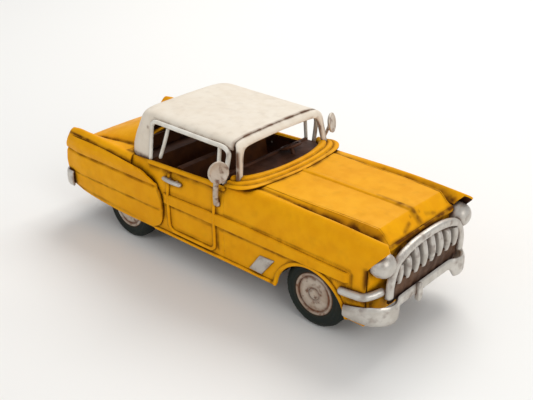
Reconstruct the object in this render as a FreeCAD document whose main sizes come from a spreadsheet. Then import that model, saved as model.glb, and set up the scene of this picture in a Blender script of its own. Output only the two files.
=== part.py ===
import FreeCAD, Part
import Sketcher
import math
import os

# Friction-drive tin car, in millimetres.  +X is forward, +Y is the car's left and +Z is up.
# The origin lies on the ground under the middle of the car.  Sheet-metal panels are thin
# solids; a panel made later is cut back by the panels that it meets, so soldered joints touch
# face to face.  The friction motor sits over the rear axle: an axle gear drives an idler, and
# the idler drives a heavy flywheel.

Vector = FreeCAD.Vector

# ---------------------------------------------------------------- driving dimensions

DIMENSIONS = [
    ("sheet_metal", 0.7, "thickness of the pressed tin panels"),
    ("overall_length", 162.0, "bumper to bumper"),
    ("sill_height", 11.0, "lower edge of the body side"),
    ("belt_rear", 38.3, "window sill height at the rear"),
    ("belt_front", 40.2, "window sill height at the front"),
    ("fender_crown", 42.1, "top of the front fender"),
    ("hood_height", 42.3, "hood beside the centre ridge"),
    ("roof_height", 57.0, "highest point of the roof"),
    ("body_half_width", 27.0, "middle of the body side"),
    ("roof_half_width", 22.9, "roof at the rain gutter"),
    ("floor_height", 15.0, "underside of the floor pan"),
    ("wheel_radius", 12.5, "tyre outer radius"),
    ("tyre_width", 7.0, "tyre width"),
    ("rim_radius", 7.85, "seat of the tyre on the rim"),
    ("wheel_face", 24.5, "outer face of the tyres from the middle"),
    ("front_axle_x", 50.9, "front axle, forward of the middle"),
    ("rear_axle_x", -43.3, "rear axle"),
    ("axle_radius", 1.2, "both axles"),
    ("running_fit", 0.05, "radial play of a shaft in its hole"),
    ("hub_recess", 1.3, "axle ends behind the outer faces of the tyres"),
    ("arch_radius", 14.6, "front wheel arch"),
    ("arch_height", 9.0, "centre of the front wheel arch"),
    ("bead_diameter", 1.6, "soldered trim wire"),
    ("gear_module", 0.6, "module of both gear pairs"),
    ("axle_gear_teeth", 32, "gear on the rear axle"),
    ("pinion_teeth", 10, "idler pinion and flywheel pinion"),
    ("idler_gear_teeth", 30, "large idler gear"),
    ("centre_extra", 0.06, "extra centre distance of each gear pair"),
    ("first_mesh_angle", 145.0, "direction from the axle to the idler"),
    ("second_mesh_angle", 180.0, "direction from the idler to the flywheel"),
    ("shaft_radius", 0.8, "idler and flywheel shafts"),
    ("flywheel_radius", 9.0, "flywheel"),
    ("flywheel_width", 6.0, "flywheel"),
    ("plate_gap", 17.2, "space between the motor plates"),
    ("plate_metal", 0.8, "motor plate thickness"),
    ("bracket_half_width", 15.0, "outside of the front axle bracket"),
    ("mirror_radius", 4.0, "door mirror disc"),
    ("mirror_reach", 31.0, "middle of the mirror disc from the middle of the car"),
    ("headlight_radius", 4.3, "headlight dome"),
    ("tooth_pitch", 4.7, "spacing of the grille teeth"),
]

doc = FreeCAD.newDocument("friction_tin_car")
sheet = doc.addObject("Spreadsheet::Sheet", "dims")
for row, (alias, number, note) in enumerate(DIMENSIONS, start=1):
    sheet.set(f"A{row}", note)
    sheet.set(f"B{row}", str(number))
    sheet.setAlias(f"B{row}", alias)
doc.recompute()

SUB_PARTS = []


def dim(alias):
    """Value of one cell of the sheet."""
    return float(getattr(sheet, alias))


METAL = dim("sheet_metal")
HALF_LENGTH = dim("overall_length") / 2
SIDES = (("right", -1), ("left", 1))
SPAN = 45.0  # beyond both sides of the car: where outlines that cut across it start and end


# ---------------------------------------------------------------- making sub-parts

def register(item, label):
    """Give a finished sub-part its name and put it on the list of files to write."""
    item.Label = label
    SUB_PARTS.append(item)
    return item


def feature(label, shape, place=Vector(0, 0, 0)):
    """Sub-part whose shape is worked out here from the sheet's values."""
    item = doc.addObject("Part::Feature", label)
    item.Shape = shape
    item.Placement = FreeCAD.Placement(place, FreeCAD.Rotation())
    return register(item, label)


def primitive(kind, name, place=Vector(0, 0, 0), axis=Vector(0, 0, 1), **expressions):
    """Part primitive with its sizes bound to the sheet; its own Z axis is turned to axis."""
    item = doc.addObject(kind, name)
    for size, expression in expressions.items():
        item.setExpression(size, expression)
    item.Placement = FreeCAD.Placement(place, FreeCAD.Rotation(Vector(0, 0, 1), axis))
    return item


def origin_plane(body, role):
    """One of a body's own origin planes or axes, found by its role."""
    for item in body.Origin.OriginFeatures:
        if item.Role == role:
            return item
    raise ValueError(role)


def bound_polygon(body, name, role, corners):
    """Closed sketch on an origin plane; each corner is a pair of expressions on the sheet."""
    sketch = body.newObject("Sketcher::SketchObject", name)
    sketch.AttachmentSupport = (origin_plane(body, role), [""])
    sketch.MapMode = "FlatFace"
    count = len(corners)
    for index in range(count):
        start = Vector(index + 1.0, (index * index) % 7 + 1.0, 0)
        end = Vector(index + 2.0, ((index + 1) * (index + 1)) % 7 + 1.0, 0)
        sketch.addGeometry(Part.LineSegment(start, end), False)
    for index in range(count):
        sketch.addConstraint(Sketcher.Constraint("Coincident", index, 2, (index + 1) % count, 1))
    for index, (across, up) in enumerate(corners):
        for kind, expression in (("DistanceX", across), ("DistanceY", up)):
            number = sketch.addConstraint(Sketcher.Constraint(kind, -1, 1, index, 1, 1.0))
            sketch.setExpression(f"Constraints[{number}]", expression)
    return sketch


def turned_body(label, corners, place):
    """Body of revolution about the car's Y direction; corners are (radius, along Y)."""
    body = doc.addObject("PartDesign::Body", label)
    sketch = bound_polygon(body, label + "_profile", "XY_Plane", corners)
    turn = body.newObject("PartDesign::Revolution", label + "_turn")
    turn.Profile = sketch
    turn.ReferenceAxis = (sketch, ["V_Axis"])
    turn.Angle = 360.0
    body.Tip = turn
    body.Placement = FreeCAD.Placement(place, FreeCAD.Rotation())
    return register(body, label)


# ---------------------------------------------------------------- geometry helpers

def box(low, high):
    """Box between two corners."""
    size = high - low
    return Part.makeBox(size.x, size.y, size.z, low)


def bar(start, end, radius):
    """Round bar from one point to another."""
    run = end - start
    return Part.makeCylinder(radius, run.Length, start, run)


def fused(pieces):
    """Union of several solids as one."""
    whole = pieces[0]
    for piece in pieces[1:]:
        whole = whole.fuse(piece)
    return whole.removeSplitter()


def wire_rod(points, diameter):
    """Bent round wire with ball joints at its bends and round ends."""
    radius = diameter / 2
    pieces = [Part.makeSphere(radius, point) for point in points]
    for start, end in zip(points[:-1], points[1:]):
        pieces.append(bar(start, end, radius))
    return fused(pieces)


def pipe(points, radius):
    """Round tube along a smooth curve through the points."""
    path = Part.BSplineCurve()
    path.interpolate(points)
    direction = path.tangent(path.FirstParameter)[0]
    ring = Part.Wire(Part.makeCircle(radius, points[0], direction))
    return Part.Wire(path.toShape()).makePipeShell([ring], True, True)


def mirrored(shape):
    """The same shape on the other side of the car."""
    return shape.mirror(Vector(0, 0, 0), Vector(0, 1, 0))


def on_side(shape, sign):
    """A shape drawn on the left, moved to the side that sign gives."""
    return shape if sign > 0 else mirrored(shape)


def clear_of(shape, others):
    """A shape with the space of its neighbours cut out of it."""
    result = shape.cut(others)
    solids = sorted(result.Solids, key=lambda solid: solid.Volume)
    return solids[-1]


def prism(points, direction):
    """Straight-edged outline pushed along a direction."""
    loop = Part.makePolygon(points + [points[0]])
    return Part.Face(loop).extrude(direction)


def side_prism(outline, depth=2 * SPAN):
    """Outline of (x, z) points pushed right through the car along Y."""
    points = [Vector(x, -depth / 2, z) for x, z in outline]
    return prism(points, Vector(0, depth, 0))


def curve(points, smooth):
    """Edge list through points, as one smooth curve or as straight lines."""
    if smooth:
        line = Part.BSplineCurve()
        line.interpolate(points)
        return [line.toShape()]
    return [Part.LineSegment(a, b).toShape() for a, b in zip(points[:-1], points[1:])]


def inset(points, thickness):
    """Points of a (y, z) line moved to its right-hand side by a thickness."""
    moved = []
    for index, (y, z) in enumerate(points):
        before = points[max(index - 1, 0)]
        after = points[min(index + 1, len(points) - 1)]
        along_y = after[0] - before[0]
        along_z = after[1] - before[1]
        length = math.hypot(along_y, along_z)
        moved.append((y - along_z / length * thickness, z + along_y / length * thickness))
    return moved


def panel(stations, thickness=METAL, smooth=True):
    """Thin sheet through sections; a section is an x and its outer (y, z) line."""
    wires = []
    for x, line in stations:
        outer = [Vector(x, y, z) for y, z in line]
        inner = [Vector(x, y, z) for y, z in reversed(inset(line, thickness))]
        edges = curve(outer, smooth)
        edges += [Part.LineSegment(outer[-1], inner[0]).toShape()]
        edges += curve(inner, smooth)
        edges += [Part.LineSegment(inner[-1], outer[0]).toShape()]
        wires.append(Part.Wire(edges))
    return Part.makeLoft(wires, True, True)


# ---------------------------------------------------------------- body sides and fenders

HALF = dim("body_half_width")
SILL = dim("sill_height")
CROWN = dim("fender_crown")
COWL_X = 12.0
FRONT_CORNER_X = 73.0
BROW_TIP_X = 80.3

# Lower part of every side section, from the sill to above the side moulding.
LOWER_SIDE = [(HALF - 0.6, SILL), (HALF - 0.1, SILL + 7), (HALF, SILL + 14), (HALF - 0.1, SILL + 20)]


def door_section(belt):
    """Side section under the windows, ending at the window sill."""
    return LOWER_SIDE + [(HALF - 0.9, belt - 3.4), (HALF - 1.9, belt)]


def fender_section(crown, valley_y, valley_z):
    """Side section through the front fender, ending in the valley beside the hood."""
    shoulder = [(HALF - 0.2, crown - 6), (HALF - 0.8, crown - 2.2), (HALF - 2.8, crown)]
    return LOWER_SIDE + shoulder + [(valley_y, valley_z)]


def arch_disc(radius):
    """Round block on the centre of the front wheel arch."""
    centre = Vector(dim("front_axle_x"), -SPAN, dim("arch_height"))
    return Part.makeCylinder(radius, 2 * SPAN, centre, Vector(0, 1, 0))


def body_side():
    """Left body side: door, sill, front fender with its brow, and the wheel arch."""
    door = panel([
        (-40.0, door_section(dim("belt_rear"))),
        (-14.0, door_section(dim("belt_rear") + 0.4)),
        (COWL_X, door_section(dim("belt_front"))),
    ])
    fender = panel([
        (COWL_X, fender_section(CROWN - 0.6, 20.6, CROWN - 0.3)),
        (40.0, fender_section(CROWN, 20.4, CROWN - 1.4)),
        (60.0, fender_section(CROWN - 0.1, 20.0, CROWN - 3.3)),
        (FRONT_CORNER_X + 1, fender_section(CROWN - 0.7, 19.8, CROWN - 4.1)),
        (BROW_TIP_X + 1, fender_section(CROWN - 1.1, 19.8, CROWN - 4.5)),
    ])
    shell = fused([door, fender])
    below_brow = side_prism([
        (FRONT_CORNER_X, 0), (FRONT_CORNER_X, 31.4), (BROW_TIP_X, CROWN - 1.2),
        (BROW_TIP_X, 50), (90, 50), (90, 0),
    ])
    ahead_of_brow = prism([
        Vector(FRONT_CORNER_X + 1.4, 15, 0), Vector(BROW_TIP_X, HALF - 1.4, 0),
        Vector(90, HALF, 0), Vector(90, 15, 0),
    ], Vector(0, 0, 60))
    return clear_of(shell, [below_brow, ahead_of_brow, arch_disc(dim("arch_radius"))])


LEFT_SIDE = body_side()
RIGHT_SIDE = mirrored(LEFT_SIDE)
feature("body_side_right", RIGHT_SIDE)
feature("body_side_left", LEFT_SIDE)
BODY_SIDES = [LEFT_SIDE, RIGHT_SIDE]


# ---------------------------------------------------------------- hood

HOOD_REAR_X = 21.0
HOOD_BREAK_X = 71.2
HOOD_FRONT_X = 75.2


def mirrored_line(half_line):
    """Whole (y, z) line from its left half, which runs from the edge to the middle."""
    right = [(-y, z) for y, z in reversed(half_line[:-1])]
    return half_line + right


def hood_section(x, edge_y, drop, top, ridge):
    """Hood section: skirt, flat top and the pressed ridge on the centre line."""
    half_line = [
        (edge_y, top - drop), (edge_y - 1.4, top - 0.3), (edge_y / 2, top),
        (1.6, top + 0.1), (0, top + ridge),
    ]
    return (x, mirrored_line(half_line))


HOOD_TOP = dim("hood_height")
HOOD = panel([
    hood_section(HOOD_REAR_X, 20.4, 0.6, HOOD_TOP, 0.1),
    hood_section(45.0, 20.2, 1.9, HOOD_TOP, 0.6),
    hood_section(HOOD_BREAK_X, 19.5, 3.4, HOOD_TOP - 0.3, 0.5),
    hood_section(HOOD_FRONT_X, 19.3, 0.3, HOOD_TOP - 4.4, 0.3),
], smooth=False)
HOOD = clear_of(HOOD, BODY_SIDES)
feature("hood", HOOD)


# ---------------------------------------------------------------- nose

def nose_panel():
    """Front sheet behind the lights and the grille, with the strip under the hood's edge."""
    plan = [(FRONT_CORNER_X + 0.1, HALF - 0.8), (74.4, 19.6), (75.0, 0.0)]
    outer = plan + [(x, -y) for x, y in reversed(plan[:-1])]
    inner = [(x - METAL, y * 0.985) for x, y in reversed(outer)]
    loop = [Vector(x, y, SILL + 3) for x, y in outer + inner]
    face_sheet = prism(loop, Vector(0, 0, 26.4 - METAL))
    strip = box(Vector(HOOD_FRONT_X - 1.4, -19.0, 35.2), Vector(HOOD_FRONT_X + 0.6, 19.0, 37.3))
    return clear_of(fused([face_sheet, strip]), BODY_SIDES + [HOOD])


NOSE = nose_panel()
feature("nose_panel", NOSE)

VALANCE = side_prism([
    (78.6, 25.4), (78.2, 22.4), (77.4, 17.5), (75.0, 17.5), (75.2, 22.0), (75.0, 25.4),
], depth=39.0)
VALANCE = clear_of(VALANCE, [NOSE])
feature("front_valance", VALANCE)


# ---------------------------------------------------------------- cowl surround

SURROUND_BASE = HOOD_TOP + 0.2


def surround_ring(grow, top):
    """Plan outline of the windscreen surround, grown outwards, pushed up to a height."""
    base = SURROUND_BASE
    width = 22.6 + grow
    nose_x = 20.6 + grow
    corner_x = 17.8 + grow
    rear_x = 11.0
    points = [
        Vector(rear_x, width, base), Vector(corner_x - 4.5, width - 0.2, base),
        Vector(corner_x - 1.0, width - 2.6, base), Vector(corner_x + 0.8, width - 7.5, base),
        Vector(nose_x, 0, base),
    ]
    points += [Vector(point.x, -point.y, point.z) for point in reversed(points[:-1])]
    edges = curve(points, True)
    edges.append(Part.LineSegment(points[-1], points[0]).toShape())
    return Part.Face(Part.Wire(edges)).extrude(Vector(0, 0, top - base))


def cowl_surround():
    """Three stepped beads round the foot of the windscreen, highest next to the opening."""
    steps = [surround_ring(5.6, 42.9), surround_ring(3.9, 43.6), surround_ring(2.1, 44.3)]
    band = fused(steps).cut(surround_ring(0, 50))
    rear_trim = box(Vector(0, -40, 30), Vector(13.6, 40, 60))
    return clear_of(band, [rear_trim])


SURROUND = cowl_surround()
feature("cowl_surround", SURROUND)


# ---------------------------------------------------------------- deck, tail and rear quarters

TAIL_X = -77.2


def deck_section(x, centre, valley, shoulder, skirt=3.4):
    """Deck section: crowned lid, valley, and the rear fender's shoulder."""
    half_line = [
        (HALF + 0.3, shoulder - skirt), (HALF - 0.1, shoulder - skirt / 2), (24.8, shoulder),
        (22.0, (shoulder + valley) / 2), (19.5, valley),
        (16.0, valley + (centre - valley) * 0.55), (9.0, centre - (centre - valley) * 0.12),
        (0, centre),
    ]
    return (x, mirrored_line(half_line))


DECK = panel([
    deck_section(-37.0, 44.6, 39.4, 38.2),
    deck_section(-52.0, 42.4, 37.6, 38.8),
    deck_section(-65.0, 38.0, 35.6, 39.4),
    deck_section(-72.0, 34.6, 34.0, 39.4),
    deck_section(-76.4, 31.6, 31.2, 35.6, 2.4),
], smooth=False)
DECK = clear_of(DECK, BODY_SIDES)

QUARTER_LINE = [
    (HALF + 0.5, SILL), (HALF + 1.1, SILL + 7), (HALF + 1.2, SILL + 14), (HALF + 1.3, SILL + 20),
    (HALF + 1.1, 34.5), (HALF + 0.5, 37.6),
]


def quarter_outline():
    """Side view of the rear quarter: swept top seam, round nose, and rising lower edge."""
    top = Part.BSplineCurve()
    top.interpolate([
        Vector(TAIL_X + 3.6, -SPAN, 37.5), Vector(-56.7, -SPAN, 36.9), Vector(-39.9, -SPAN, 35.8),
        Vector(-29.5, -SPAN, 34.8), Vector(-22.0, -SPAN, 31.2), Vector(-18.9, -SPAN, 24.0),
        Vector(-20.0, -SPAN, 16.4), Vector(-25.5, -SPAN, 12.0),
    ])
    low_front = Vector(-25.5, -SPAN, 12.0)
    low_middle = Vector(-44.0, -SPAN, 11.5)
    low_rear = Vector(TAIL_X + 4.1, -SPAN, 14.6)
    tail = Part.Arc(low_rear, Vector(TAIL_X, -SPAN, 25.0), Vector(TAIL_X + 3.6, -SPAN, 37.5))
    bottom = Part.Arc(low_front, low_middle, low_rear)
    loop = Part.Wire([top.toShape(), bottom.toShape(), tail.toShape()])
    return Part.Face(loop).extrude(Vector(0, 2 * SPAN, 0))


def quarter_panel():
    """Left rear quarter: the long overlay that covers the upper half of the rear wheel."""
    tucked = [(y - 1.5, z) for y, z in QUARTER_LINE]
    blank = panel([(-16.0, QUARTER_LINE), (-71.0, QUARTER_LINE), (-78.5, tucked)], 1.0)
    return clear_of(blank.common(quarter_outline()), BODY_SIDES + [DECK])


LEFT_QUARTER = quarter_panel()
RIGHT_QUARTER = mirrored(LEFT_QUARTER)
QUARTERS = [LEFT_QUARTER, RIGHT_QUARTER]

TAIL = side_prism([
    (-75.6, 14.0), (-76.6, 24.0), (-76.0, 31.0), (-75.2, 31.0), (-75.8, 24.0), (-74.8, 14.0),
], depth=2 * HALF)
TAIL = clear_of(TAIL, QUARTERS + [DECK])

feature("rear_deck", DECK)
feature("tail_panel", TAIL)
feature("rear_quarter_right", RIGHT_QUARTER)
feature("rear_quarter_left", LEFT_QUARTER)


# ---------------------------------------------------------------- roof and windscreen frame

ROOF_TOP = dim("roof_height")
ROOF_HALF = dim("roof_half_width")
ROOF_FRONT_X = 13.2
ROOF_BASE = 37.6
GUTTER = ROOF_TOP - 2.9


def roof_block(shrink):
    """Solid under the roof's skin: a tunnel along X, closed at the rear by the back slope."""
    half_line = [
        (ROOF_HALF + 1.4, ROOF_BASE), (ROOF_HALF + 0.7, 46.0), (ROOF_HALF, GUTTER - 1.5),
        (ROOF_HALF - 0.1, GUTTER + 0.4), (ROOF_HALF - 1.0, ROOF_TOP - 1.2),
        (ROOF_HALF - 3.4, ROOF_TOP - 0.5), (11.0, ROOF_TOP - 0.1), (0, ROOF_TOP),
    ]
    line = mirrored_line(half_line)
    if shrink:
        line = inset(line, shrink)
    points = [Vector(-50, y, z) for y, z in line]
    edges = curve(points, True)
    edges.append(Part.LineSegment(points[-1], points[0]).toShape())
    tunnel = Part.Face(Part.Wire(edges)).extrude(Vector(80, 0, 0))
    back = [
        (-41.6, ROOF_BASE - 5), (-41.2, 42.0), (-38.4, 50.0), (-36.6, 53.6), (-34.6, 55.7),
        (-31.0, ROOF_TOP + 1),
    ]
    outline = [(x + shrink, z - shrink) for x, z in back]
    outline += [(ROOF_FRONT_X + shrink, ROOF_TOP + 1), (ROOF_FRONT_X + shrink, ROOF_BASE - 5)]
    return tunnel.common(side_prism(outline))


def rounded_window(half_width, low, high, x_from, x_to, radius):
    """Round-cornered block, used to cut a window across the car."""
    block = box(Vector(x_from, -half_width, low), Vector(x_to, half_width, high))
    corners = [edge for edge in block.Edges if abs(edge.tangentAt(0).x) > 0.9]
    return block.makeFillet(radius, corners)


def roof_panel():
    """Roof sheet with both rear pillars and the rear window."""
    skin = roof_block(0).cut(roof_block(METAL + 0.1))
    below = box(Vector(-60, -40, 0), Vector(40, 40, ROOF_BASE))
    side_window = side_prism([
        (-28.6, 30), (-28.2, 44.0), (-27.8, 51.4), (-26.2, GUTTER - 0.9), (30, GUTTER - 0.9), (30, 30),
    ])
    rear_window = rounded_window(15.5, 46.0, 53.0, -60, -30, 2.0)
    return clear_of(skin, [below, side_window, rear_window, DECK] + BODY_SIDES)


ROOF = roof_panel()
feature("roof_panel", ROOF)


def windscreen_frame():
    """Header strip in front of the roof seam and the two slanted front pillars."""
    base = 41.0
    slab = side_prism([
        (17.6, base), (15.9, 54.2), (ROOF_FRONT_X, ROOF_TOP - 0.3),
        (ROOF_FRONT_X, ROOF_TOP - 1.3), (14.7, 53.8), (16.2, base),
    ], depth=60.0)
    half_line = [(25.0, base), (ROOF_HALF + 0.2, 53.6), (ROOF_HALF - 0.9, ROOF_TOP - 1.5)]
    half_line += [(ROOF_HALF - 3.6, ROOF_TOP - 0.8), (0, ROOF_TOP - 0.3)]
    outline = [Vector(0, y, z) for y, z in mirrored_line(half_line)]
    frame = slab.common(prism(outline, Vector(40, 0, 0)))
    opening = [(22.4, base), (20.4, 51.6), (18.6, 53.6), (0, 54.2)]
    hole = [Vector(0, y, z) for y, z in mirrored_line(opening)]
    return clear_of(frame, [prism(hole, Vector(40, 0, 0)), SURROUND, HOOD, ROOF] + BODY_SIDES)


WINDSCREEN = windscreen_frame()
feature("windshield_frame", WINDSCREEN)


# ---------------------------------------------------------------- trim on the sides

BEAD = dim("bead_diameter")
DOOR_REAR_X = -16.0
DOOR_FRONT_X = 7.8
DOOR_LOW = 13.8
BELT_WIRE = 1.7


def proud_skin(proud, below=0.5):
    """Layer that covers the left door and lower fender and stands proud of them."""
    rear = door_section(dim("belt_rear") + 0.3)
    front = door_section(dim("belt_front") + 0.3)
    stations = []
    for x, line in ((-34.0, rear), (COWL_X, front), (FRONT_CORNER_X, front)):
        stations.append((x, inset(line, -proud)))
    return panel(stations, proud + below)


def trim(outline_solid, proud, neighbours):
    """Piece of the proud layer inside an outline, seated on the body side."""
    return clear_of(proud_skin(proud).common(outline_solid), [LEFT_SIDE] + neighbours)


def door_outline(grow):
    """Side view of the door with round lower corners, grown outwards."""
    rear = DOOR_REAR_X - grow
    front = DOOR_FRONT_X + grow
    block = box(Vector(rear, -SPAN, DOOR_LOW - grow), Vector(front, SPAN, 60))
    corners = []
    for edge in block.Edges:
        if abs(edge.tangentAt(0).y) > 0.9 and edge.BoundBox.ZMax < 30:
            corners.append(edge)
    return block.makeFillet(3.0 + grow, corners)


def door_trim():
    """Wire outline of the left door and the belt wire under the windows."""
    ring = door_outline(BEAD / 2).cut(door_outline(-BEAD / 2))
    belt = side_prism([
        (-27.6, 38.5 - BELT_WIRE), (COWL_X, 40.3 - BELT_WIRE), (COWL_X, 40.6), (-27.6, 38.8),
    ])
    above = side_prism([(-40, 38.0), (COWL_X, 39.8), (40, 60), (-40, 60)])
    return trim(ring.cut(above).fuse(belt), BEAD / 2, [LEFT_QUARTER, ROOF, SURROUND, WINDSCREEN])


DOOR_TRIM = door_trim()
MOULDING = trim(side_prism([
    (-18.0, 24.4), (20.0, 24.6), (67.5, 24.0), (67.5, 28.4), (20.0, 29.4), (-19.0, 28.8),
]), 0.8, [LEFT_QUARTER, DOOR_TRIM])


def sill_bead():
    """Bead along the sill and over the front wheel arch, in one piece."""
    radius = dim("arch_radius")
    rail = box(Vector(-25.0, -SPAN, SILL - 0.2), Vector(dim("front_axle_x"), SPAN, SILL + BEAD))
    low = box(Vector(0, -SPAN, 0), Vector(90, SPAN, SILL - 0.2))
    outline = rail.fuse(arch_disc(radius + BEAD)).cut([arch_disc(radius), low])
    return trim(outline, BEAD / 2, [LEFT_QUARTER, DOOR_TRIM, MOULDING])


SILL_BEAD = sill_bead()
SILL_BEADS = [SILL_BEAD, mirrored(SILL_BEAD)]
for side, sign in SIDES:
    feature("door_trim_" + side, on_side(DOOR_TRIM, sign))
    feature("side_moulding_" + side, on_side(MOULDING, sign))
    feature("sill_bead_" + side, on_side(SILL_BEAD, sign))


def window_rods():
    """Left gutter wire running down as the front post, with the other window rods."""
    gutter = [
        Vector(-27.4, 22.9, 52.6), Vector(-25.6, 23.1, GUTTER - 0.5), Vector(9.0, 23.4, GUTTER - 0.4),
        Vector(12.0, 23.5, GUTTER - 2.2), Vector(12.2, 23.9, 50.0), Vector(10.6, 24.7, 40.9),
    ]
    rear_rod = [Vector(-27.8, 24.5, 39.0), Vector(-27.6, 22.9, 52.0)]
    slanted_rod = [Vector(-24.0, 22.9, 40.2), Vector(-19.2, 22.4, GUTTER - 1.2)]
    vent_rod = [Vector(7.3, 24.2, 41.2), Vector(7.3, 23.0, GUTTER - 1.0)]
    rods = [wire_rod(gutter, 1.7)]
    rods += [wire_rod(points, 1.5) for points in (rear_rod, slanted_rod, vent_rod)]
    return fused(rods).cut([ROOF, WINDSCREEN, LEFT_SIDE, SURROUND, DOOR_TRIM])


WINDOW_RODS = window_rods()
for side, sign in SIDES:
    feature("window_rods_" + side, on_side(WINDOW_RODS, sign))


# ---------------------------------------------------------------- small outside pieces

def pair(shape, neighbours):
    """The same small piece on both sides as one group of solids."""
    trimmed = shape.cut(neighbours)
    return Part.makeCompound([mirrored(trimmed), trimmed])


plate = trim(side_prism([(29.4, 20.3), (36.0, 20.6), (30.0, 12.9), (24.2, 13.2)]), 0.7, [SILL_BEAD])
feature("fender_plates", pair(plate, [MOULDING]))

handle = [wire_rod([Vector(-17.2, HALF + 0.6, 34.7), Vector(-9.8, HALF + 0.6, 34.5)], 1.9)]
for foot_x in (-15.4, -11.6):
    handle.append(bar(Vector(foot_x, HALF - 1.2, 34.6), Vector(foot_x, HALF + 0.8, 34.6), 0.7))
feature("door_handles", pair(fused(handle), [LEFT_SIDE, DOOR_TRIM]))


def door_mirror():
    """Left door mirror: bent arm from the door's front edge and a dished round head."""
    head_x = 14.0
    reach = dim("mirror_reach")
    arm = wire_rod([
        Vector(9.2, HALF + 0.6, 33.4), Vector(11.0, HALF + 2.2, 40.0),
        Vector(13.2, reach - 0.4, 46.0), Vector(13.2, reach, 48.0),
    ], 1.7)
    facing = Vector(1, 0.4, 0.2)
    head = Part.makeCylinder(dim("mirror_radius"), 1.8, Vector(head_x - 0.9, reach, 48.0), facing)
    head = head.makeFillet(0.7, head.Edges)
    return clear_of(fused([arm, head]), [LEFT_SIDE, MOULDING])


def headlight():
    """Left headlight: a silver dome under the fender's brow."""
    dome = Part.makeSphere(dim("headlight_radius"), Vector(76.0, 22.9, 33.2))
    inner_half = box(Vector(60, 0, 0), Vector(FRONT_CORNER_X + 0.2, 60, 60))
    return clear_of(dome, [LEFT_SIDE, NOSE, inner_half])


def parking_light():
    """Left parking light bar: a bent rod round the front corner."""
    rod = wire_rod([
        Vector(64.4, HALF + 0.7, 21.4), Vector(73.4, HALF + 0.6, 22.2), Vector(76.2, 22.4, 23.2),
    ], 2.6)
    return clear_of(rod, [LEFT_SIDE, NOSE, VALANCE, SILL_BEAD])


DOOR_MIRROR = door_mirror()
HEADLIGHT = headlight()
PARKING_LIGHT = parking_light()
HEADLIGHTS = [HEADLIGHT, mirrored(HEADLIGHT)]
PARKING_LIGHTS = [PARKING_LIGHT, mirrored(PARKING_LIGHT)]
for side, sign in SIDES:
    feature("mirror_" + side, on_side(DOOR_MIRROR, sign))
    feature("headlight_" + side, on_side(HEADLIGHT, sign))
    feature("parking_light_" + side, on_side(PARKING_LIGHT, sign))


# ---------------------------------------------------------------- grille and bumpers

def grille_frame():
    """Heavy arched bar over the grille."""
    half_path = [
        Vector(78.2, 20.9, 21.4), Vector(78.2, 20.6, 27.4), Vector(77.9, 17.6, 32.6),
        Vector(77.5, 9.4, 35.0), Vector(77.3, 0, 35.5),
    ]
    path = half_path + [Vector(point.x, -point.y, point.z) for point in reversed(half_path[:-1])]
    arch = pipe(path, 1.4)
    return clear_of(arch, [NOSE, VALANCE, HOOD] + HEADLIGHTS + PARKING_LIGHTS)


GRILLE_FRAME = grille_frame()
feature("grille_frame", GRILLE_FRAME)


def grille_teeth():
    """Row of eight pressed teeth, longest in the middle."""
    count = 8
    width = 3.3
    tallest = 34.0
    arch_drop = 0.011
    teeth = []
    for index in range(count):
        middle = (index - (count - 1) / 2) * dim("tooth_pitch")
        top = tallest - arch_drop * middle ** 2
        tooth = side_prism([
            (76.0, 25.4), (79.2, 25.6), (79.8, 28.4), (79.2, 31.4), (77.6, top), (76.0, top),
        ], depth=width)
        tooth.translate(Vector(0, middle, 0))
        teeth.append(clear_of(tooth, [GRILLE_FRAME, VALANCE, NOSE]))
    return Part.makeCompound(teeth)


feature("grille_teeth", grille_teeth())


def bumper_band(half_plan, low, high, thickness):
    """Upright metal band along a plan line that is the same on both sides."""
    outer = mirrored_line([(y, x) for x, y in half_plan])
    inward = inset(outer, thickness)
    outer_points = [Vector(x, y, low) for y, x in outer]
    inner_points = [Vector(x, y, low) for y, x in reversed(inward)]
    edges = curve(outer_points, True)
    edges.append(Part.LineSegment(outer_points[-1], inner_points[0]).toShape())
    edges += curve(inner_points, True)
    edges.append(Part.LineSegment(inner_points[-1], outer_points[0]).toShape())
    return Part.Face(Part.Wire(edges)).extrude(Vector(0, 0, high - low))


front_band = bumper_band([
    (65.5, 28.4), (71.5, 28.3), (76.5, 27.2), (79.9, 23.6), (HALF_LENGTH - 0.1, 19.8),
    (80.0, 16.8), (78.9, 13.0), (78.7, 0),
], 12.2, 19.4, 1.1)
middle_notch = box(Vector(60, -15.5, 0), Vector(90, 15.5, 15.3))
side_slope = side_prism([(60, 16.0), (74, 19.0), (74, 30), (60, 30)])
FRONT_BUMPER = clear_of(front_band, [middle_notch, side_slope, VALANCE] + BODY_SIDES + SILL_BEADS)
feature("front_bumper", FRONT_BUMPER)

guard = box(Vector(78.2, -1.3, 13.2), Vector(80.2, 1.3, 19.8))
guard = guard.makeFillet(0.8, [edge for edge in guard.Edges if abs(edge.tangentAt(0).z) > 0.9])
guard.translate(Vector(0, -4.8, 0))
feature("bumper_guard", clear_of(guard, [FRONT_BUMPER]))

REAR_FACE_X = 1.1 - HALF_LENGTH
rear_band = bumper_band([
    (-72.6, 29.5), (-76.2, 28.9), (-78.9, 25.8), (-79.6, 19.0), (REAR_FACE_X, 10.0), (REAR_FACE_X, 0),
], 14.2, 21.4, 1.1)
feature("rear_bumper", clear_of(rear_band, QUARTERS + [TAIL]))

lamp = Part.makeSphere(2.2, Vector(-75.6, 24.4, 32.4))
feature("taillights", pair(clear_of(lamp, [LEFT_QUARTER, DECK, TAIL]), [TAIL]))


# ---------------------------------------------------------------- floor and interior

FLOOR = dim("floor_height")
FLOOR_TOP = FLOOR + 0.8
FRONT_AXLE = Vector(dim("front_axle_x"), 0, dim("wheel_radius"))
REAR_AXLE = Vector(dim("rear_axle_x"), 0, dim("wheel_radius"))
PLATE_OUTER = dim("plate_gap") / 2 + dim("plate_metal")
SLOT_REAR_X = -75.0
SLOT_FRONT_X = -32.2


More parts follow.
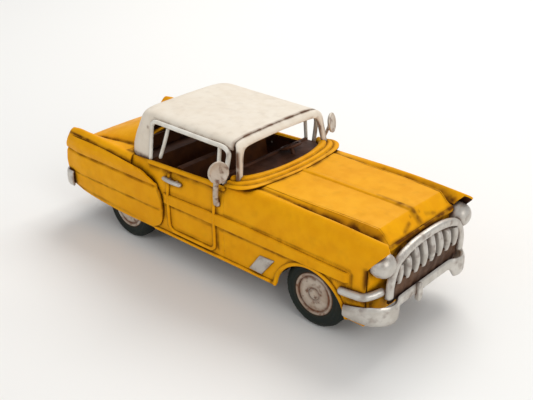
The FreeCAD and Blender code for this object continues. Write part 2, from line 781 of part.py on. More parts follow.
def wheel_well(axle, sign):
    """Room for one wheel in the floor."""
    inner = sign * (dim("wheel_face") - dim("tyre_width") - 0.8)
    outer = sign * 40
    low = Vector(axle.x - 14.2, min(inner, outer), 0)
    high = Vector(axle.x + 14.2, max(inner, outer), 40)
    return box(low, high)


pan = box(Vector(-75.0, -HALF, FLOOR), Vector(72.4, HALF, FLOOR_TOP))
wells = [wheel_well(axle, sign) for axle in (FRONT_AXLE, REAR_AXLE) for _, sign in SIDES]
slot = box(Vector(SLOT_REAR_X, -PLATE_OUTER, 0), Vector(SLOT_FRONT_X, PLATE_OUTER, 40))
pad = box(Vector(-14.0, -16.0, FLOOR - 0.6), Vector(30.0, 16.0, FLOOR_TOP))
FLOOR_PAN = clear_of(fused([pan, pad]), wells + [slot, TAIL, NOSE] + BODY_SIDES + QUARTERS)
feature("floor_pan", FLOOR_PAN)

front_back = side_prism([(-9.5, FLOOR_TOP + 8), (-12.6, 38.5), (-15.4, 38.5), (-13.0, FLOOR_TOP)], 45.0)
front_cushion = box(Vector(-13.0, -22.5, FLOOR_TOP), Vector(1.5, 22.5, FLOOR_TOP + 8))
feature("front_seat", fused([front_back, front_cushion]))

rear_back = side_prism([(-28.0, FLOOR_TOP + 8), (-29.6, 37.4), (-32.0, 37.4), (-30.4, FLOOR_TOP)], 45.0)
rear_cushion = box(Vector(-30.4, -22.5, FLOOR_TOP), Vector(-18.0, 22.5, FLOOR_TOP + 8))
parcel_shelf = side_prism([
    (-29.8, 36.6), (-36.9, 36.6), (-36.9, 43.0), (-36.2, 43.0), (-36.2, 37.4), (-29.8, 37.4),
], 44.0)
rear_seat = fused([rear_back, rear_cushion, parcel_shelf])
feature("rear_seat", clear_of(rear_seat, QUARTERS + [DECK, ROOF]))

shelf = side_prism([
    (21.0, 43.0), (9.6, 42.4), (9.2, 43.0), (8.2, 43.0), (8.6, 35.0), (9.4, 35.0), (9.6, 41.6), (21.0, 42.2),
], 44.6)
DASHBOARD = clear_of(shelf, BODY_SIDES + [HOOD, SURROUND, WINDSCREEN])
feature("dashboard", DASHBOARD)

WHEEL_CENTRE = Vector(13.2, 8.0, 45.2)
COLUMN = Vector(-0.42, 0, 0.9)
column_foot = WHEEL_CENTRE - COLUMN * 3.4
column_solid = bar(column_foot, WHEEL_CENTRE, 0.7)
feature("steering_column", clear_of(column_solid, [DASHBOARD]))

rim_ring = Part.makeTorus(3.6, 0.55, WHEEL_CENTRE, COLUMN)
spokes = [
    bar(WHEEL_CENTRE - Vector(0, 3.5, 0), WHEEL_CENTRE + Vector(0, 3.5, 0), 0.45),
    bar(WHEEL_CENTRE, WHEEL_CENTRE - Vector(3.1, 0, 1.45), 0.45),
]
feature("steering_wheel", clear_of(fused([rim_ring] + spokes), [column_solid]))


# ---------------------------------------------------------------- axles and wheels

bracket_y = dim("bracket_half_width")
bracket = box(Vector(FRONT_AXLE.x - 5, -bracket_y, FLOOR - 0.8), Vector(FRONT_AXLE.x + 5, bracket_y, FLOOR))
for sign in (-1, 1):
    outer = sign * bracket_y
    inner = sign * (bracket_y - 0.8)
    low = Vector(FRONT_AXLE.x - 3.4, min(inner, outer), 9.6)
    bracket = bracket.fuse(box(low, Vector(FRONT_AXLE.x + 3.4, max(inner, outer), FLOOR - 0.4)))
hole_radius = dim("axle_radius") + dim("running_fit")
bracket_hole = bar(FRONT_AXLE - Vector(0, 40, 0), FRONT_AXLE + Vector(0, 40, 0), hole_radius)
feature("front_axle_bracket", bracket.removeSplitter().cut(bracket_hole))

AXLE_END = dim("wheel_face") - dim("hub_recess")
for end, axle in (("front", FRONT_AXLE), ("rear", REAR_AXLE)):
    rod = primitive(
        "Part::Cylinder", end + "_axle", axle - Vector(0, AXLE_END, 0), Vector(0, 1, 0),
        Radius="dims.axle_radius", Height="2 * (dims.wheel_face - dims.hub_recess)")
    register(rod, end + "_axle")
    for side, sign in SIDES:
        place = Vector(axle.x, sign * dim("wheel_face"), axle.z)
        inward = "-1" if sign > 0 else "1"
        turned_body(f"{end}_tyre_{side}", [
            ("dims.rim_radius", f"{inward} * 0.4"),
            ("dims.rim_radius + 0.9", "0"),
            ("dims.wheel_radius - 1.5", f"{inward} * 0.1"),
            ("dims.wheel_radius - 0.4", f"{inward} * 0.9"),
            ("dims.wheel_radius", f"{inward} * 2.2"),
            ("dims.wheel_radius", f"{inward} * (dims.tyre_width - 2.2)"),
            ("dims.wheel_radius - 0.4", f"{inward} * (dims.tyre_width - 0.9)"),
            ("dims.wheel_radius - 1.5", f"{inward} * (dims.tyre_width - 0.1)"),
            ("dims.rim_radius + 0.9", f"{inward} * dims.tyre_width"),
            ("dims.rim_radius", f"{inward} * (dims.tyre_width - 0.4)"),
        ], place)
        turned_body(f"{end}_rim_{side}", [
            ("dims.axle_radius", f"{inward} * dims.hub_recess"),
            ("dims.axle_radius", f"{inward} * (dims.tyre_width - 0.2)"),
            ("dims.axle_radius + 1.4", f"{inward} * (dims.tyre_width - 0.2)"),
            ("dims.axle_radius + 1.8", f"{inward} * (dims.tyre_width - 1.2)"),
            ("dims.rim_radius - 1.4", f"{inward} * (dims.tyre_width - 1.2)"),
            ("dims.rim_radius - 1", f"{inward} * (dims.tyre_width - 0.6)"),
            ("dims.rim_radius", f"{inward} * (dims.tyre_width - 0.6)"),
            ("dims.rim_radius", f"{inward} * 0.6"),
            ("dims.rim_radius - 0.5", f"{inward} * 0.1"),
            ("dims.rim_radius - 1.3", f"{inward} * 0.5"),
            ("4.2", f"{inward} * 0.9"),
            ("3.3", f"{inward} * 0.2"),
            ("2.6", f"{inward} * 0.7"),
            ("2.0", f"{inward} * 0.6"),
            ("1.4", f"{inward} * -0.1"),
            ("0", f"{inward} * -0.4"),
            ("0", f"{inward} * dims.hub_recess"),
        ], place)


# ---------------------------------------------------------------- friction motor

MODULE = dim("gear_module")
PRESSURE = math.radians(20)
BACKLASH = 0.1


def gear(teeth, addendum, width, centre, low_y, tooth_angle):
    """Spur gear about Y with involute teeth; one tooth points along tooth_angle."""
    pitch_radius = MODULE * teeth / 2
    base_radius = pitch_radius * math.cos(PRESSURE)
    tip_radius = pitch_radius + addendum
    root_radius = pitch_radius - 1.15 * MODULE
    half_pitch_tooth = (math.pi * MODULE / 2 - BACKLASH) / (2 * pitch_radius)
    base_half = half_pitch_tooth + math.tan(PRESSURE) - PRESSURE
    start_radius = max(base_radius, root_radius)
    flank = []
    steps = 4
    for step in range(steps + 1):
        radius = start_radius + (tip_radius - start_radius) * step / steps
        roll = math.acos(min(1.0, base_radius / radius))
        flank.append((radius, base_half - (math.tan(roll) - roll)))
    if root_radius < base_radius:
        flank.insert(0, (root_radius, base_half))
    loop = []
    for tooth in range(teeth):
        middle = tooth_angle + 2 * math.pi * tooth / teeth
        rising = [(radius, middle - half) for radius, half in flank]
        falling = [(radius, middle + half) for radius, half in reversed(flank)]
        for radius, angle in rising + falling:
            x = centre.x + radius * math.cos(angle)
            loop.append(Vector(x, low_y, centre.z + radius * math.sin(angle)))
    return prism(loop, Vector(0, width, 0))


def mesh_distance(first, second):
    """Working centre distance of two gears."""
    return MODULE * (first + second) / 2 + dim("centre_extra")


def stepped(centre, distance, angle):
    """Point in the side view at a distance and angle from another."""
    return centre + Vector(distance * math.cos(angle), 0, distance * math.sin(angle))


AXLE_TEETH = int(dim("axle_gear_teeth"))
PINION_TEETH = int(dim("pinion_teeth"))
IDLER_TEETH = int(dim("idler_gear_teeth"))
FIRST_ANGLE = math.radians(dim("first_mesh_angle"))
SECOND_ANGLE = math.radians(dim("second_mesh_angle"))
IDLER = stepped(REAR_AXLE, mesh_distance(AXLE_TEETH, PINION_TEETH), FIRST_ANGLE)
FLYWHEEL = stepped(IDLER, mesh_distance(IDLER_TEETH, PINION_TEETH), SECOND_ANGLE)
SHAFT = dim("shaft_radius")
HALF_PINION_PITCH = math.pi / PINION_TEETH
STUB = 0.35


def shaft_bore(centre, radius):
    """Long round bar along Y, for cutting a hole."""
    return bar(centre - Vector(0, 40, 0), centre + Vector(0, 40, 0), radius)


axle_gear = gear(AXLE_TEETH, STUB, 2.0, REAR_AXLE, -7.5, FIRST_ANGLE)
axle_boss = bar(REAR_AXLE + Vector(0, -5.5, 0), REAR_AXLE + Vector(0, -4.9, 0), 2.6)
axle_gear = axle_gear.fuse(axle_boss).cut(shaft_bore(REAR_AXLE, dim("axle_radius")))
feature("axle_gear", axle_gear.removeSplitter())

idler_pinion = gear(
    PINION_TEETH, MODULE, 2.7, IDLER, -7.8, FIRST_ANGLE + math.pi + HALF_PINION_PITCH)
idler_wheel = gear(IDLER_TEETH, STUB, 1.8, IDLER, -5.1, SECOND_ANGLE)
idler_gear = idler_pinion.fuse(idler_wheel).cut(shaft_bore(IDLER, SHAFT))
feature("idler_gear", idler_gear.removeSplitter())

SHAFT_HALF = dim("plate_gap") / 2 + dim("plate_metal") + 0.6
idler_shaft = primitive(
    "Part::Cylinder", "idler_shaft", IDLER - Vector(0, SHAFT_HALF, 0), Vector(0, 1, 0),
    Radius="dims.shaft_radius", Height="dims.plate_gap + 2 * dims.plate_metal + 1.2")
register(idler_shaft, "idler_shaft")

flywheel_pinion = gear(
    PINION_TEETH, MODULE, 2.6, FLYWHEEL, -5.5, SECOND_ANGLE + math.pi + HALF_PINION_PITCH)
flywheel_rod = bar(FLYWHEEL - Vector(0, SHAFT_HALF, 0), FLYWHEEL + Vector(0, SHAFT_HALF, 0), SHAFT)
feature("flywheel_shaft", flywheel_pinion.fuse(flywheel_rod).removeSplitter())

turned_body("flywheel", [
    ("dims.shaft_radius", "0"),
    ("2.4", "0"),
    ("2.4", "1.2"),
    ("dims.flywheel_radius - 2.4", "1.2"),
    ("dims.flywheel_radius - 2.4", "0"),
    ("dims.flywheel_radius - 0.4", "0"),
    ("dims.flywheel_radius", "0.4"),
    ("dims.flywheel_radius", "dims.flywheel_width - 0.4"),
    ("dims.flywheel_radius - 0.4", "dims.flywheel_width"),
    ("dims.shaft_radius", "dims.flywheel_width"),
], FLYWHEEL)

PLATE_OUTLINE = [
    (-37.4, 6.6), (-37.4, 29.0), (-41.0, 30.6), (-50.0, 30.6), (-73.8, 27.4), (-74.6, 25.6),
    (-74.6, 8.6), (-72.0, 6.2), (-55.0, 5.2), (-39.0, 5.2),
]
SPACERS = [(-43.2, 27.6), (-72.0, 8.8), (-56.6, 7.4)]


def motor_plate(sign):
    """One side plate of the motor, with its shaft holes and the tabs that sit on the floor."""
    inner = sign * dim("plate_gap") / 2
    outer = sign * PLATE_OUTER
    outline = [Vector(x, min(inner, outer), z) for x, z in PLATE_OUTLINE]
    sheet_plate = prism(outline, Vector(0, dim("plate_metal"), 0))
    for tab_x in (-68.0, -42.0):
        tab_y = sign * (PLATE_OUTER + 3.6)
        low = Vector(tab_x, min(inner, tab_y), FLOOR_TOP)
        high = Vector(tab_x + 4.0, max(inner, tab_y), FLOOR_TOP + 0.8)
        sheet_plate = sheet_plate.fuse(box(low, high))
    holes = [shaft_bore(REAR_AXLE, hole_radius)]
    holes += [shaft_bore(centre, SHAFT + dim("running_fit")) for centre in (IDLER, FLYWHEEL)]
    return sheet_plate.removeSplitter().cut(holes)


for side, sign in SIDES:
    feature("motor_plate_" + side, motor_plate(sign))

half_gap = dim("plate_gap") / 2
spacer_bars = [bar(Vector(x, -half_gap, z), Vector(x, half_gap, z), 1.5) for x, z in SPACERS]
feature("motor_spacers", Part.makeCompound(spacer_bars))


# ---------------------------------------------------------------- checks and files

doc.recompute()
for item in doc.Objects:
    if "Invalid" in item.State or "Error" in item.State:
        raise RuntimeError(f"{item.Name} failed: {item.State}")
for item in SUB_PARTS:
    if item.Shape.isNull() or not item.Shape.isValid():
        raise RuntimeError(f"{item.Label} has no valid shape")
    if not item.Shape.Solids:
        raise RuntimeError(f"{item.Label} has no solid")

os.makedirs("parts", exist_ok=True)
for item in SUB_PARTS:
    item.Shape.exportStep(f"parts/{item.Label}.step")
print(len(SUB_PARTS), "sub-parts written")
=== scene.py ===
import math

import bmesh
import bpy
import numpy as np
from mathutils import Matrix, Vector, noise


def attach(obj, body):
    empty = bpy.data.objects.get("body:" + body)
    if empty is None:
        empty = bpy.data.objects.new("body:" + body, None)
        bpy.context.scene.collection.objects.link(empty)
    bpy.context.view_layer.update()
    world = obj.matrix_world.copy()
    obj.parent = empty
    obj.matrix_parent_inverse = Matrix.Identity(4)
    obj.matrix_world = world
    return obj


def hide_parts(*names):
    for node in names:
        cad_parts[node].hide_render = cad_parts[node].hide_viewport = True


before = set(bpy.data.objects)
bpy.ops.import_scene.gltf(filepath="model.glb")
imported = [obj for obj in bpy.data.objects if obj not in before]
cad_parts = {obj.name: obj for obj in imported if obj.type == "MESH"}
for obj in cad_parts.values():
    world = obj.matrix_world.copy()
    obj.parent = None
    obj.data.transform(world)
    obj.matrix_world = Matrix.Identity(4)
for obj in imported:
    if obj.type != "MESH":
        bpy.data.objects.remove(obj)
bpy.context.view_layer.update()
MM = 0.001
SHARP_ANGLE = 42

# ---- sizes of the body, in mm

HALF = 27.0
SILL = 11.0
CROWN = 42.1
HOOD_TOP = 42.3
ROOF_TOP = 57.0
GUTTER = ROOF_TOP - 2.9
ROOF_BASE = 37.6
COWL_X = 12.0
CORNER_X = 73.0
BROW_X = 80.3
BROW_LOW = 31.4
FENDER_END = 81.0
FRONT_AXLE_X = 50.9
REAR_AXLE_X = -43.3
AXLE_Z = 12.5
ARCH_Z = 9.0
ARCH_R = 14.6
WHEEL_FACE = 24.5
WHEEL_R = 12.5
TYRE_WIDTH = 7.0
RIM_R = 7.85
SIDES = (("left", 1.0), ("right", -1.0))


# ---- curves

def spline(points, at):
    """Smooth curve through points at even steps; at runs from 0 to the number of spans."""
    rows = np.asarray(points, float)
    slopes = np.gradient(rows, axis=0)
    at = np.clip(np.asarray(at, float), 0, len(rows) - 1)
    i = np.minimum(at.astype(int), len(rows) - 2)
    t = (at - i)[:, None]
    a = 2 * t ** 3 - 3 * t ** 2 + 1
    b = t ** 3 - 2 * t ** 2 + t
    return a * rows[i] + b * slopes[i] + (1 - a) * rows[i + 1] + (t ** 3 - t ** 2) * slopes[i + 1]


def through(points, count):
    """A number of points on a smooth curve through a few given ones."""
    return spline(points, np.linspace(0, len(points) - 1, count))


def both_halves(half, flip=(-1, 1)):
    """Whole outline from one half, whose last point lies on the middle line."""
    half = np.asarray(half, float)
    return np.vstack([half, half[-2::-1] * np.array(flip)])


def at_height(line, z):
    """First number of a line of (number, height) pairs at a height."""
    line = np.asarray(line, float)
    return float(np.interp(z, line[:, 1], line[:, 0]))


def evenly(line, count):
    """The same line with evenly spaced points."""
    line = np.asarray(line, float)
    steps = np.linalg.norm(np.diff(line, axis=0), axis=1)
    run = np.concatenate([[0], np.cumsum(steps)])
    at = np.linspace(0, run[-1], count)
    return np.stack([np.interp(at, run, line[:, k]) for k in range(line.shape[1])], axis=1)


def smooth_line(points, count):
    """Evenly spaced points on a smooth curve through a few given ones."""
    return evenly(through(points, 30 * len(points)), count)


def table_at(stations, x):
    """Rows of a station table at x, smoothly between its stations; a row is (x, numbers)."""
    places = np.array([station[0] for station in stations], float)
    rows = np.array([station[1] for station in stations], float)
    slopes = np.gradient(rows, places, axis=0)
    i = int(np.clip(np.searchsorted(places, x) - 1, 0, len(places) - 2))
    h = places[i + 1] - places[i]
    t = float(np.clip((x - places[i]) / h, 0, 1))
    a = 2 * t ** 3 - 3 * t ** 2 + 1
    b = (t ** 3 - 2 * t ** 2 + t) * h
    d = (t ** 3 - t ** 2) * h
    return a * rows[i] + b * slopes[i] + (1 - a) * rows[i + 1] + d * slopes[i + 1]


def directions(path):
    """Unit direction of a line at each of its points."""
    along = np.gradient(path, axis=0)
    return along / np.linalg.norm(along, axis=1, keepdims=True)


def at_x(x, line):
    """(y, z) points placed at x."""
    return np.column_stack([np.full(len(line), x), line])


def squarish(value, power):
    """Sine or cosine of a turn, pushed towards the corners of a square."""
    return math.copysign(abs(value) ** power, value)


def soft(t):
    """Smooth step from 0 to 1."""
    t = np.clip(t, 0, 1)
    return t * t * (3 - 2 * t)


def patch(low, high, first, last):
    """Grid between four border lines: low and high run along, first and last run across."""
    low, high, first, last = (np.asarray(line, float) for line in (low, high, first, last))
    u = np.linspace(0, 1, len(low))[:, None, None]
    v = np.linspace(0, 1, len(first))[None, :, None]
    along = (1 - v) * low[:, None] + v * high[:, None]
    across = (1 - u) * first[None, :] + u * last[None, :]
    corners = (
        (1 - u) * (1 - v) * low[0] + u * (1 - v) * low[-1]
        + (1 - u) * v * high[0] + u * v * high[-1])
    return along + across - corners


# ---- brown patina and painted shade along seams, creases and recesses

PATINA_AND_SHADE_LINES = []


def add_patina_and_shade(points, radius, strength=1.0):
    """Brown patina and painted shade along a line of points, on both sides of the car."""
    line = [np.array(point, float) for point in points]
    if len(line) == 1:
        line = line * 2
    for start, end in zip(line[:-1], line[1:]):
        PATINA_AND_SHADE_LINES.append((start, end, radius, strength))


def patina_and_shade_amount(points):
    """How much brown patina and painted shade each point carries, from 0 to 1."""
    p = np.array(points, float)
    p[:, 1] = np.abs(p[:, 1])
    total = np.zeros(len(p))
    for start, end, radius, strength in PATINA_AND_SHADE_LINES:
        run = end - start
        length = float(run @ run)
        t = np.clip((p - start) @ run / length, 0, 1) if length > 1e-9 else np.zeros(len(p))
        distance = np.linalg.norm(p - (start + t[:, None] * run), axis=1)
        total = np.maximum(total, strength * soft(1 - distance / radius))
    return total


# ---- making pieces

def grid_part(grid, holes=None):
    """Points and quads of a grid, leaving out the quads that holes marks."""
    grid = np.asarray(grid, float)
    rows, cols = grid.shape[:2]
    faces = []
    for i in range(rows - 1):
        for j in range(cols - 1):
            if holes is None or not holes[i, j]:
                k = i * cols + j
                faces.append((k, k + cols, k + cols + 1, k + 1))
    return grid.reshape(-1, 3), faces


def loft(rings):
    """Closed mesh through rings that all have the same number of points."""
    around = len(rings[0])
    count = len(rings)
    faces = []
    for i in range(count - 1):
        for j in range(around):
            j2 = (j + 1) % around
            faces.append((i * around + j, (i + 1) * around + j, (i + 1) * around + j2, i * around + j2))
    faces.append(tuple(range(around)))
    faces.append(tuple(range((count - 1) * around, count * around)))
    return np.concatenate([np.asarray(ring, float) for ring in rings]), faces


def together(parts):
    """Several (points, faces) meshes as one."""
    points = []
    faces = []
    base = 0
    for verts, polygons in parts:
        points.append(np.asarray(verts, float))
        faces += [tuple(base + k for k in polygon) for polygon in polygons]
        base += len(verts)
    return np.concatenate(points), faces


def on_side(part, sign):
    """A left-hand mesh moved to the side that sign gives."""
    points, faces = part
    if sign > 0:
        return part
    return points * np.array([1, -1, 1]), [tuple(reversed(face)) for face in faces]


def both(part):
    """A left-hand mesh and its mirror image as one."""
    return together([part, on_side(part, -1)])


def shell_piece(name, part, look, outward=None, body="root", replaces=None,
                wobble=0.08, seed=1, metal=0.0, edge=0.0, weld=0.03, lining=None):
    """Piece of the car: a mesh in mm, slightly uneven, with sheet thickness and round edges.

    outward is a direction that most of an open sheet faces; a closed mesh needs none. metal is
    the sheet's thickness, lining the paint on its inner side, and weld how near points join."""
    points, faces = part
    mesh = bpy.data.meshes.new(name)
    mesh.from_pydata((np.asarray(points) * MM).tolist(), [], faces)
    bm = bmesh.new()
    bm.from_mesh(mesh)
    bmesh.ops.remove_doubles(bm, verts=bm.verts, dist=weld * MM)
    bm.normal_update()
    if outward is None:
        bmesh.ops.recalc_face_normals(bm, faces=bm.faces)
    else:
        toward = Vector(outward)
        facing = sum(face.normal.dot(toward) * face.calc_area() for face in bm.faces)
        if facing < 0:
            bmesh.ops.reverse_faces(bm, faces=bm.faces)
    bm.normal_update()
    offset = Vector((seed * 31.7, seed * 17.3, seed * 7.9))
    for vert in bm.verts:
        p = vert.co / MM
        wave = noise.noise(p * 0.06 + offset) + 0.25 * noise.noise(p * 0.4 + offset)
        vert.co += vert.normal * (wave * wobble * MM)
    for face in bm.faces:
        face.smooth = True
    bm.to_mesh(mesh)
    bm.free()
    coords = np.zeros(len(mesh.vertices) * 3)
    mesh.vertices.foreach_get("co", coords)
    # each point's share of the listed brown patina and painted shade
    patina_shade = mesh.attributes.new("patina_and_shade_amount", "FLOAT", "POINT")
    patina_shade.data.foreach_set("value", patina_and_shade_amount(coords.reshape(-1, 3) / MM).astype(np.float32))
    obj = bpy.data.objects.new(name, mesh)
    bpy.context.scene.collection.objects.link(obj)
    mesh.materials.append(look)
    if metal:
        thick = obj.modifiers.new("metal", "SOLIDIFY")
        thick.thickness = metal * MM
        thick.offset = -1.0
        if lining is not None:
            mesh.materials.append(lining)
            thick.material_offset = 1
    if edge:
        round_edges(obj, edge)
    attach(obj, body)
    if replaces:
        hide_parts(replaces)
    return obj


def round_edges(obj, width):
    """Small rounding on an object's sharp edges."""
    bevel = obj.modifiers.new("edges", "BEVEL")
    bevel.width = width * MM
    bevel.segments = 2
    bevel.limit_method = "ANGLE"
    bevel.angle_limit = math.radians(SHARP_ANGLE)
    bevel.harden_normals = False


def tube(points, radius, flat=1.0, around=12, smooth=True, spacing=0.9):
    """Bent wire with round ends; flat squashes it across the way it lies."""
    points = np.asarray(points, float)
    length = float(np.linalg.norm(np.diff(points, axis=0), axis=1).sum())
    count = max(5, int(length / spacing))
    path = smooth_line(points, count) if smooth else evenly(points, count)
    along = directions(path)
    side = np.cross([0.0, 0.0, 1.0], along[0])
    if np.linalg.norm(side) < 0.2:
        side = np.cross([0.0, 1.0, 0.0], along[0])
    turns = np.linspace(0, 2 * math.pi, around, endpoint=False)
    rings = []
    caps = [(0, -math.cos(a), math.sin(a)) for a in (0.15, 0.55, 1.0)]
    caps_end = [(count - 1, math.cos(a), math.sin(a)) for a in (1.0, 0.55, 0.15)]
    sides = []
    for direction in along:
        side = side - direction * float(side @ direction)
        side = side / np.linalg.norm(side)
        sides.append(side)
    for index, shift, scale in caps + [(i, 0.0, 1.0) for i in range(count)] + caps_end:
        across = sides[index]
        up = np.cross(along[index], across)
        centre = path[index] + along[index] * shift * radius
        ring = [centre + (across * math.cos(t) + up * math.sin(t) * flat) * radius * scale for t in turns]
        rings.append(ring)
    return loft(rings)


def lathe(profile, centre, facing, around=72, ripple=None):
    """Solid turned from (radius, height) points about a line through centre along facing."""
    axis = np.array(facing, float)
    axis /= np.linalg.norm(axis)
    helper = np.array([0.0, 0.0, 1.0]) if abs(axis[2]) < 0.9 else np.array([1.0, 0.0, 0.0])
    across = np.cross(helper, axis)
    across /= np.linalg.norm(across)
    up = np.cross(axis, across)
    rings = []
    for radius, height in profile:
        ring = []
        for t in np.linspace(0, 2 * math.pi, around, endpoint=False):
            reach = max(radius + (ripple(radius, t) if ripple else 0.0), 0.02)
            outward = across * math.cos(t) + up * math.sin(t)
            ring.append(np.array(centre) + outward * reach + axis * height)
        rings.append(ring)
    return loft(rings)


# ---- materials

def node(tree, kind, values=(), **settings):
    """New shader node with its settings and the plain values of its inputs."""
    made = tree.nodes.new(kind)
    for name, value in settings.items():
        setattr(made, name, value)
    for name, value in dict(values).items():
        made.inputs[name].default_value = value
    return made


def srgb(red, green, blue):
    """Colour seen on screen as a linear one."""
    parts = []
    for value in (red, green, blue):
        c = value / 255
        parts.append(c / 12.92 if c <= 0.04045 else ((c + 0.055) / 1.055) ** 2.4)
    return (*parts, 1.0)


def maths(tree, kind, a, b=0.5, clamp=False):
    """Result of one maths step on two sockets or numbers."""
    made = node(tree, "ShaderNodeMath", operation=kind, use_clamp=clamp)
    for index, value in enumerate((a, b)):
        if isinstance(value, (int, float)):
            made.inputs[index].default_value = value
        else:
            tree.links.new(value, made.inputs[index])
    return made.outputs[0]


def blend_colours(tree, amount, first, second):
    """Colour between two, by a socket."""
    made = node(tree, "ShaderNodeMix", data_type="RGBA")
    tree.links.new(amount, made.inputs["Factor"])
    for index, value in ((6, first), (7, second)):
        if isinstance(value, tuple):
            made.inputs[index].default_value = value
        else:
            tree.links.new(value, made.inputs[index])
    return made.outputs[2]


def cloud(tree, place, scale, detail=3.0, low=0.0, high=1.0):
    """Noise on the object itself, stretched so that low gives 0 and high gives 1."""
    made = node(tree, "ShaderNodeTexNoise", {"Scale": scale, "Detail": detail})
    tree.links.new(place, made.inputs["Vector"])
    ramp = node(tree, "ShaderNodeMapRange", {"From Min": low, "From Max": high},
                interpolation_type="SMOOTHSTEP")
    tree.links.new(made.outputs[0], ramp.inputs["Value"])
    return ramp.outputs[0]


BROAD_SCALE = 55.0
MIDDLE_SCALE = 230.0
GRAIN_SCALE = 900.0
MOST_PATINA_AND_SHADE = 0.93
SPECKLE_DARKNESS = 0.55


def painted(name, main, second, patina_shade, roughness=0.35, metallic=0.0, crevice=0.9, reach=2.6,
            patches=0.0, relief=0.05, coat=0.0, shine=0.25, blot_scale=130.0):
    """Old finish: two close tones, brown painted shade in corners and seams, listed lines of brown
    patina and painted shade, random blots, and a fine relief.

    main and second are the two tones, and the third is the brown of the patina and of the painted
    shade, all three as they look on screen. crevice is how much painted shade the corners get
    within reach mm, and patches how much of the brown lies in blots on the open surface."""
    main, second, patina_shade = (srgb(*colour) for colour in (main, second, patina_shade))
    made = bpy.data.materials.new(name)
    made.use_nodes = True
    tree = made.node_tree
    shader = tree.nodes["Principled BSDF"]
    place = node(tree, "ShaderNodeTexCoord").outputs["Object"]
    wide = cloud(tree, place, BROAD_SCALE, 3.0, 0.35, 0.65)
    middle = cloud(tree, place, MIDDLE_SCALE, 4.0, 0.36, 0.64)
    fine = cloud(tree, place, GRAIN_SCALE, 3.0, 0.3, 0.7)
    tone = maths(tree, "MULTIPLY", maths(tree, "ADD", wide, middle), 0.5)
    colour = blend_colours(tree, tone, main, second)
    # painted shade: ambient occlusion turns corners, creases and seams towards the brown
    corner = node(tree, "ShaderNodeAmbientOcclusion", {"Distance": reach * MM}, samples=6)
    shade = maths(tree, "MULTIPLY", maths(tree, "SUBTRACT", 1.0, corner.outputs["AO"]), 1.7)
    shade = maths(tree, "POWER", shade, 1.5)
    seam = maths(tree, "MULTIPLY", shade, crevice)
    # listed lines of brown patina and painted shade, made ragged by noise
    shade_and_patina_marks = node(tree, "ShaderNodeAttribute", attribute_name="patina_and_shade_amount").outputs["Fac"]
    ragged = maths(tree, "ADD", maths(tree, "MULTIPLY", middle, 0.55), 0.6)
    shaded_and_stained = maths(tree, "MULTIPLY", shade_and_patina_marks, ragged)
    amount = maths(tree, "MAXIMUM", maths(tree, "MULTIPLY", seam, ragged), shaded_and_stained)
    if patches:
        blots = cloud(tree, place, blot_scale, 6.0, 0.5, 0.72)
        amount = maths(tree, "MAXIMUM", amount, maths(tree, "MULTIPLY", blots, patches))
    amount = maths(tree, "MINIMUM", amount, MOST_PATINA_AND_SHADE)
    # the brown of the patina and of the painted shade, speckled darker by fine noise
    patina_shade_colour = blend_colours(tree, fine, patina_shade, tuple(c * SPECKLE_DARKNESS for c in patina_shade[:3]) + (1.0,))
    colour = blend_colours(tree, amount, colour, patina_shade_colour)
    tree.links.new(colour, shader.inputs["Base Color"])
    gloss = maths(tree, "ADD", maths(tree, "MULTIPLY", middle, 0.10), roughness - 0.05)
    gloss = maths(tree, "ADD", gloss, maths(tree, "MULTIPLY", amount, 0.30), clamp=True)
    tree.links.new(gloss, shader.inputs["Roughness"])
    if metallic:
        sheen = maths(tree, "MULTIPLY", maths(tree, "SUBTRACT", 1.0, amount), metallic)
        tree.links.new(sheen, shader.inputs["Metallic"])
    shader.inputs["Coat Weight"].default_value = coat
    shader.inputs["Specular IOR Level"].default_value = shine
    shader.inputs["Coat Roughness"].default_value = 0.25
    height = maths(tree, "ADD", maths(tree, "MULTIPLY", fine, 0.35),
                   maths(tree, "MULTIPLY", middle, 0.65))
    bump = node(tree, "ShaderNodeBump", {"Strength": 1.0, "Distance": relief * MM})
    tree.links.new(height, bump.inputs["Height"])
    tree.links.new(bump.outputs[0], shader.inputs["Normal"])
    return made


# browns of the patina and of the painted shade in corners and seams; the darker one goes with the rusty
# brown paint
PATINA_AND_SHADE_BROWN = (78, 34, 10)
DARK_PATINA_AND_SHADE = (52, 26, 12)
YELLOW = painted(
    "yellow enamel", (240, 168, 10), (230, 155, 6), PATINA_AND_SHADE_BROWN, roughness=0.42, patches=0.08,
    crevice=1.6, reach=2.4, relief=0.03, shine=0.06, blot_scale=190.0)
CREAM = painted(
    "cream enamel", (233, 222, 205), (226, 213, 194), (104, 62, 32), roughness=0.5,
    crevice=1.1, reach=2.0, patches=0.08, relief=0.03, blot_scale=260.0)
WHITE = painted(
    "white rod paint", (238, 234, 224), (222, 214, 200), (120, 84, 52), roughness=0.45,
    crevice=0.5, patches=0.2)
SILVER = painted(
    "silver paint", (212, 207, 199), (188, 181, 171), (104, 62, 34), roughness=0.36,
    metallic=0.5, crevice=1.1, patches=0.5, relief=0.06, blot_scale=300.0)
RUST = painted(
    "rusty brown paint", (98, 66, 42), (60, 36, 20), DARK_PATINA_AND_SHADE, roughness=0.6, crevice=1.3,
    patches=0.8, relief=0.14)
DISC_SILVER = painted(
    "stained disc paint", (206, 195, 180), (178, 158, 138), (112, 62, 32), roughness=0.42,
    metallic=0.3, crevice=1.2, patches=0.85, relief=0.10, blot_scale=420.0)
INSIDE = painted(
    "brown interior paint", (88, 48, 24), (62, 34, 18), (34, 18, 10), roughness=0.55,
    crevice=0.8, patches=0.4, relief=0.06)
LEATHER = painted(
    "seat paint", (104, 60, 28), (78, 42, 20), (40, 22, 12), roughness=0.5,
    crevice=0.8, patches=0.5, relief=0.06)
UNDERSIDE = painted(
    "primed tin floor", (72, 58, 48), (96, 70, 50), (40, 26, 18), roughness=0.6,
    metallic=0.35, patches=0.6, relief=0.06)
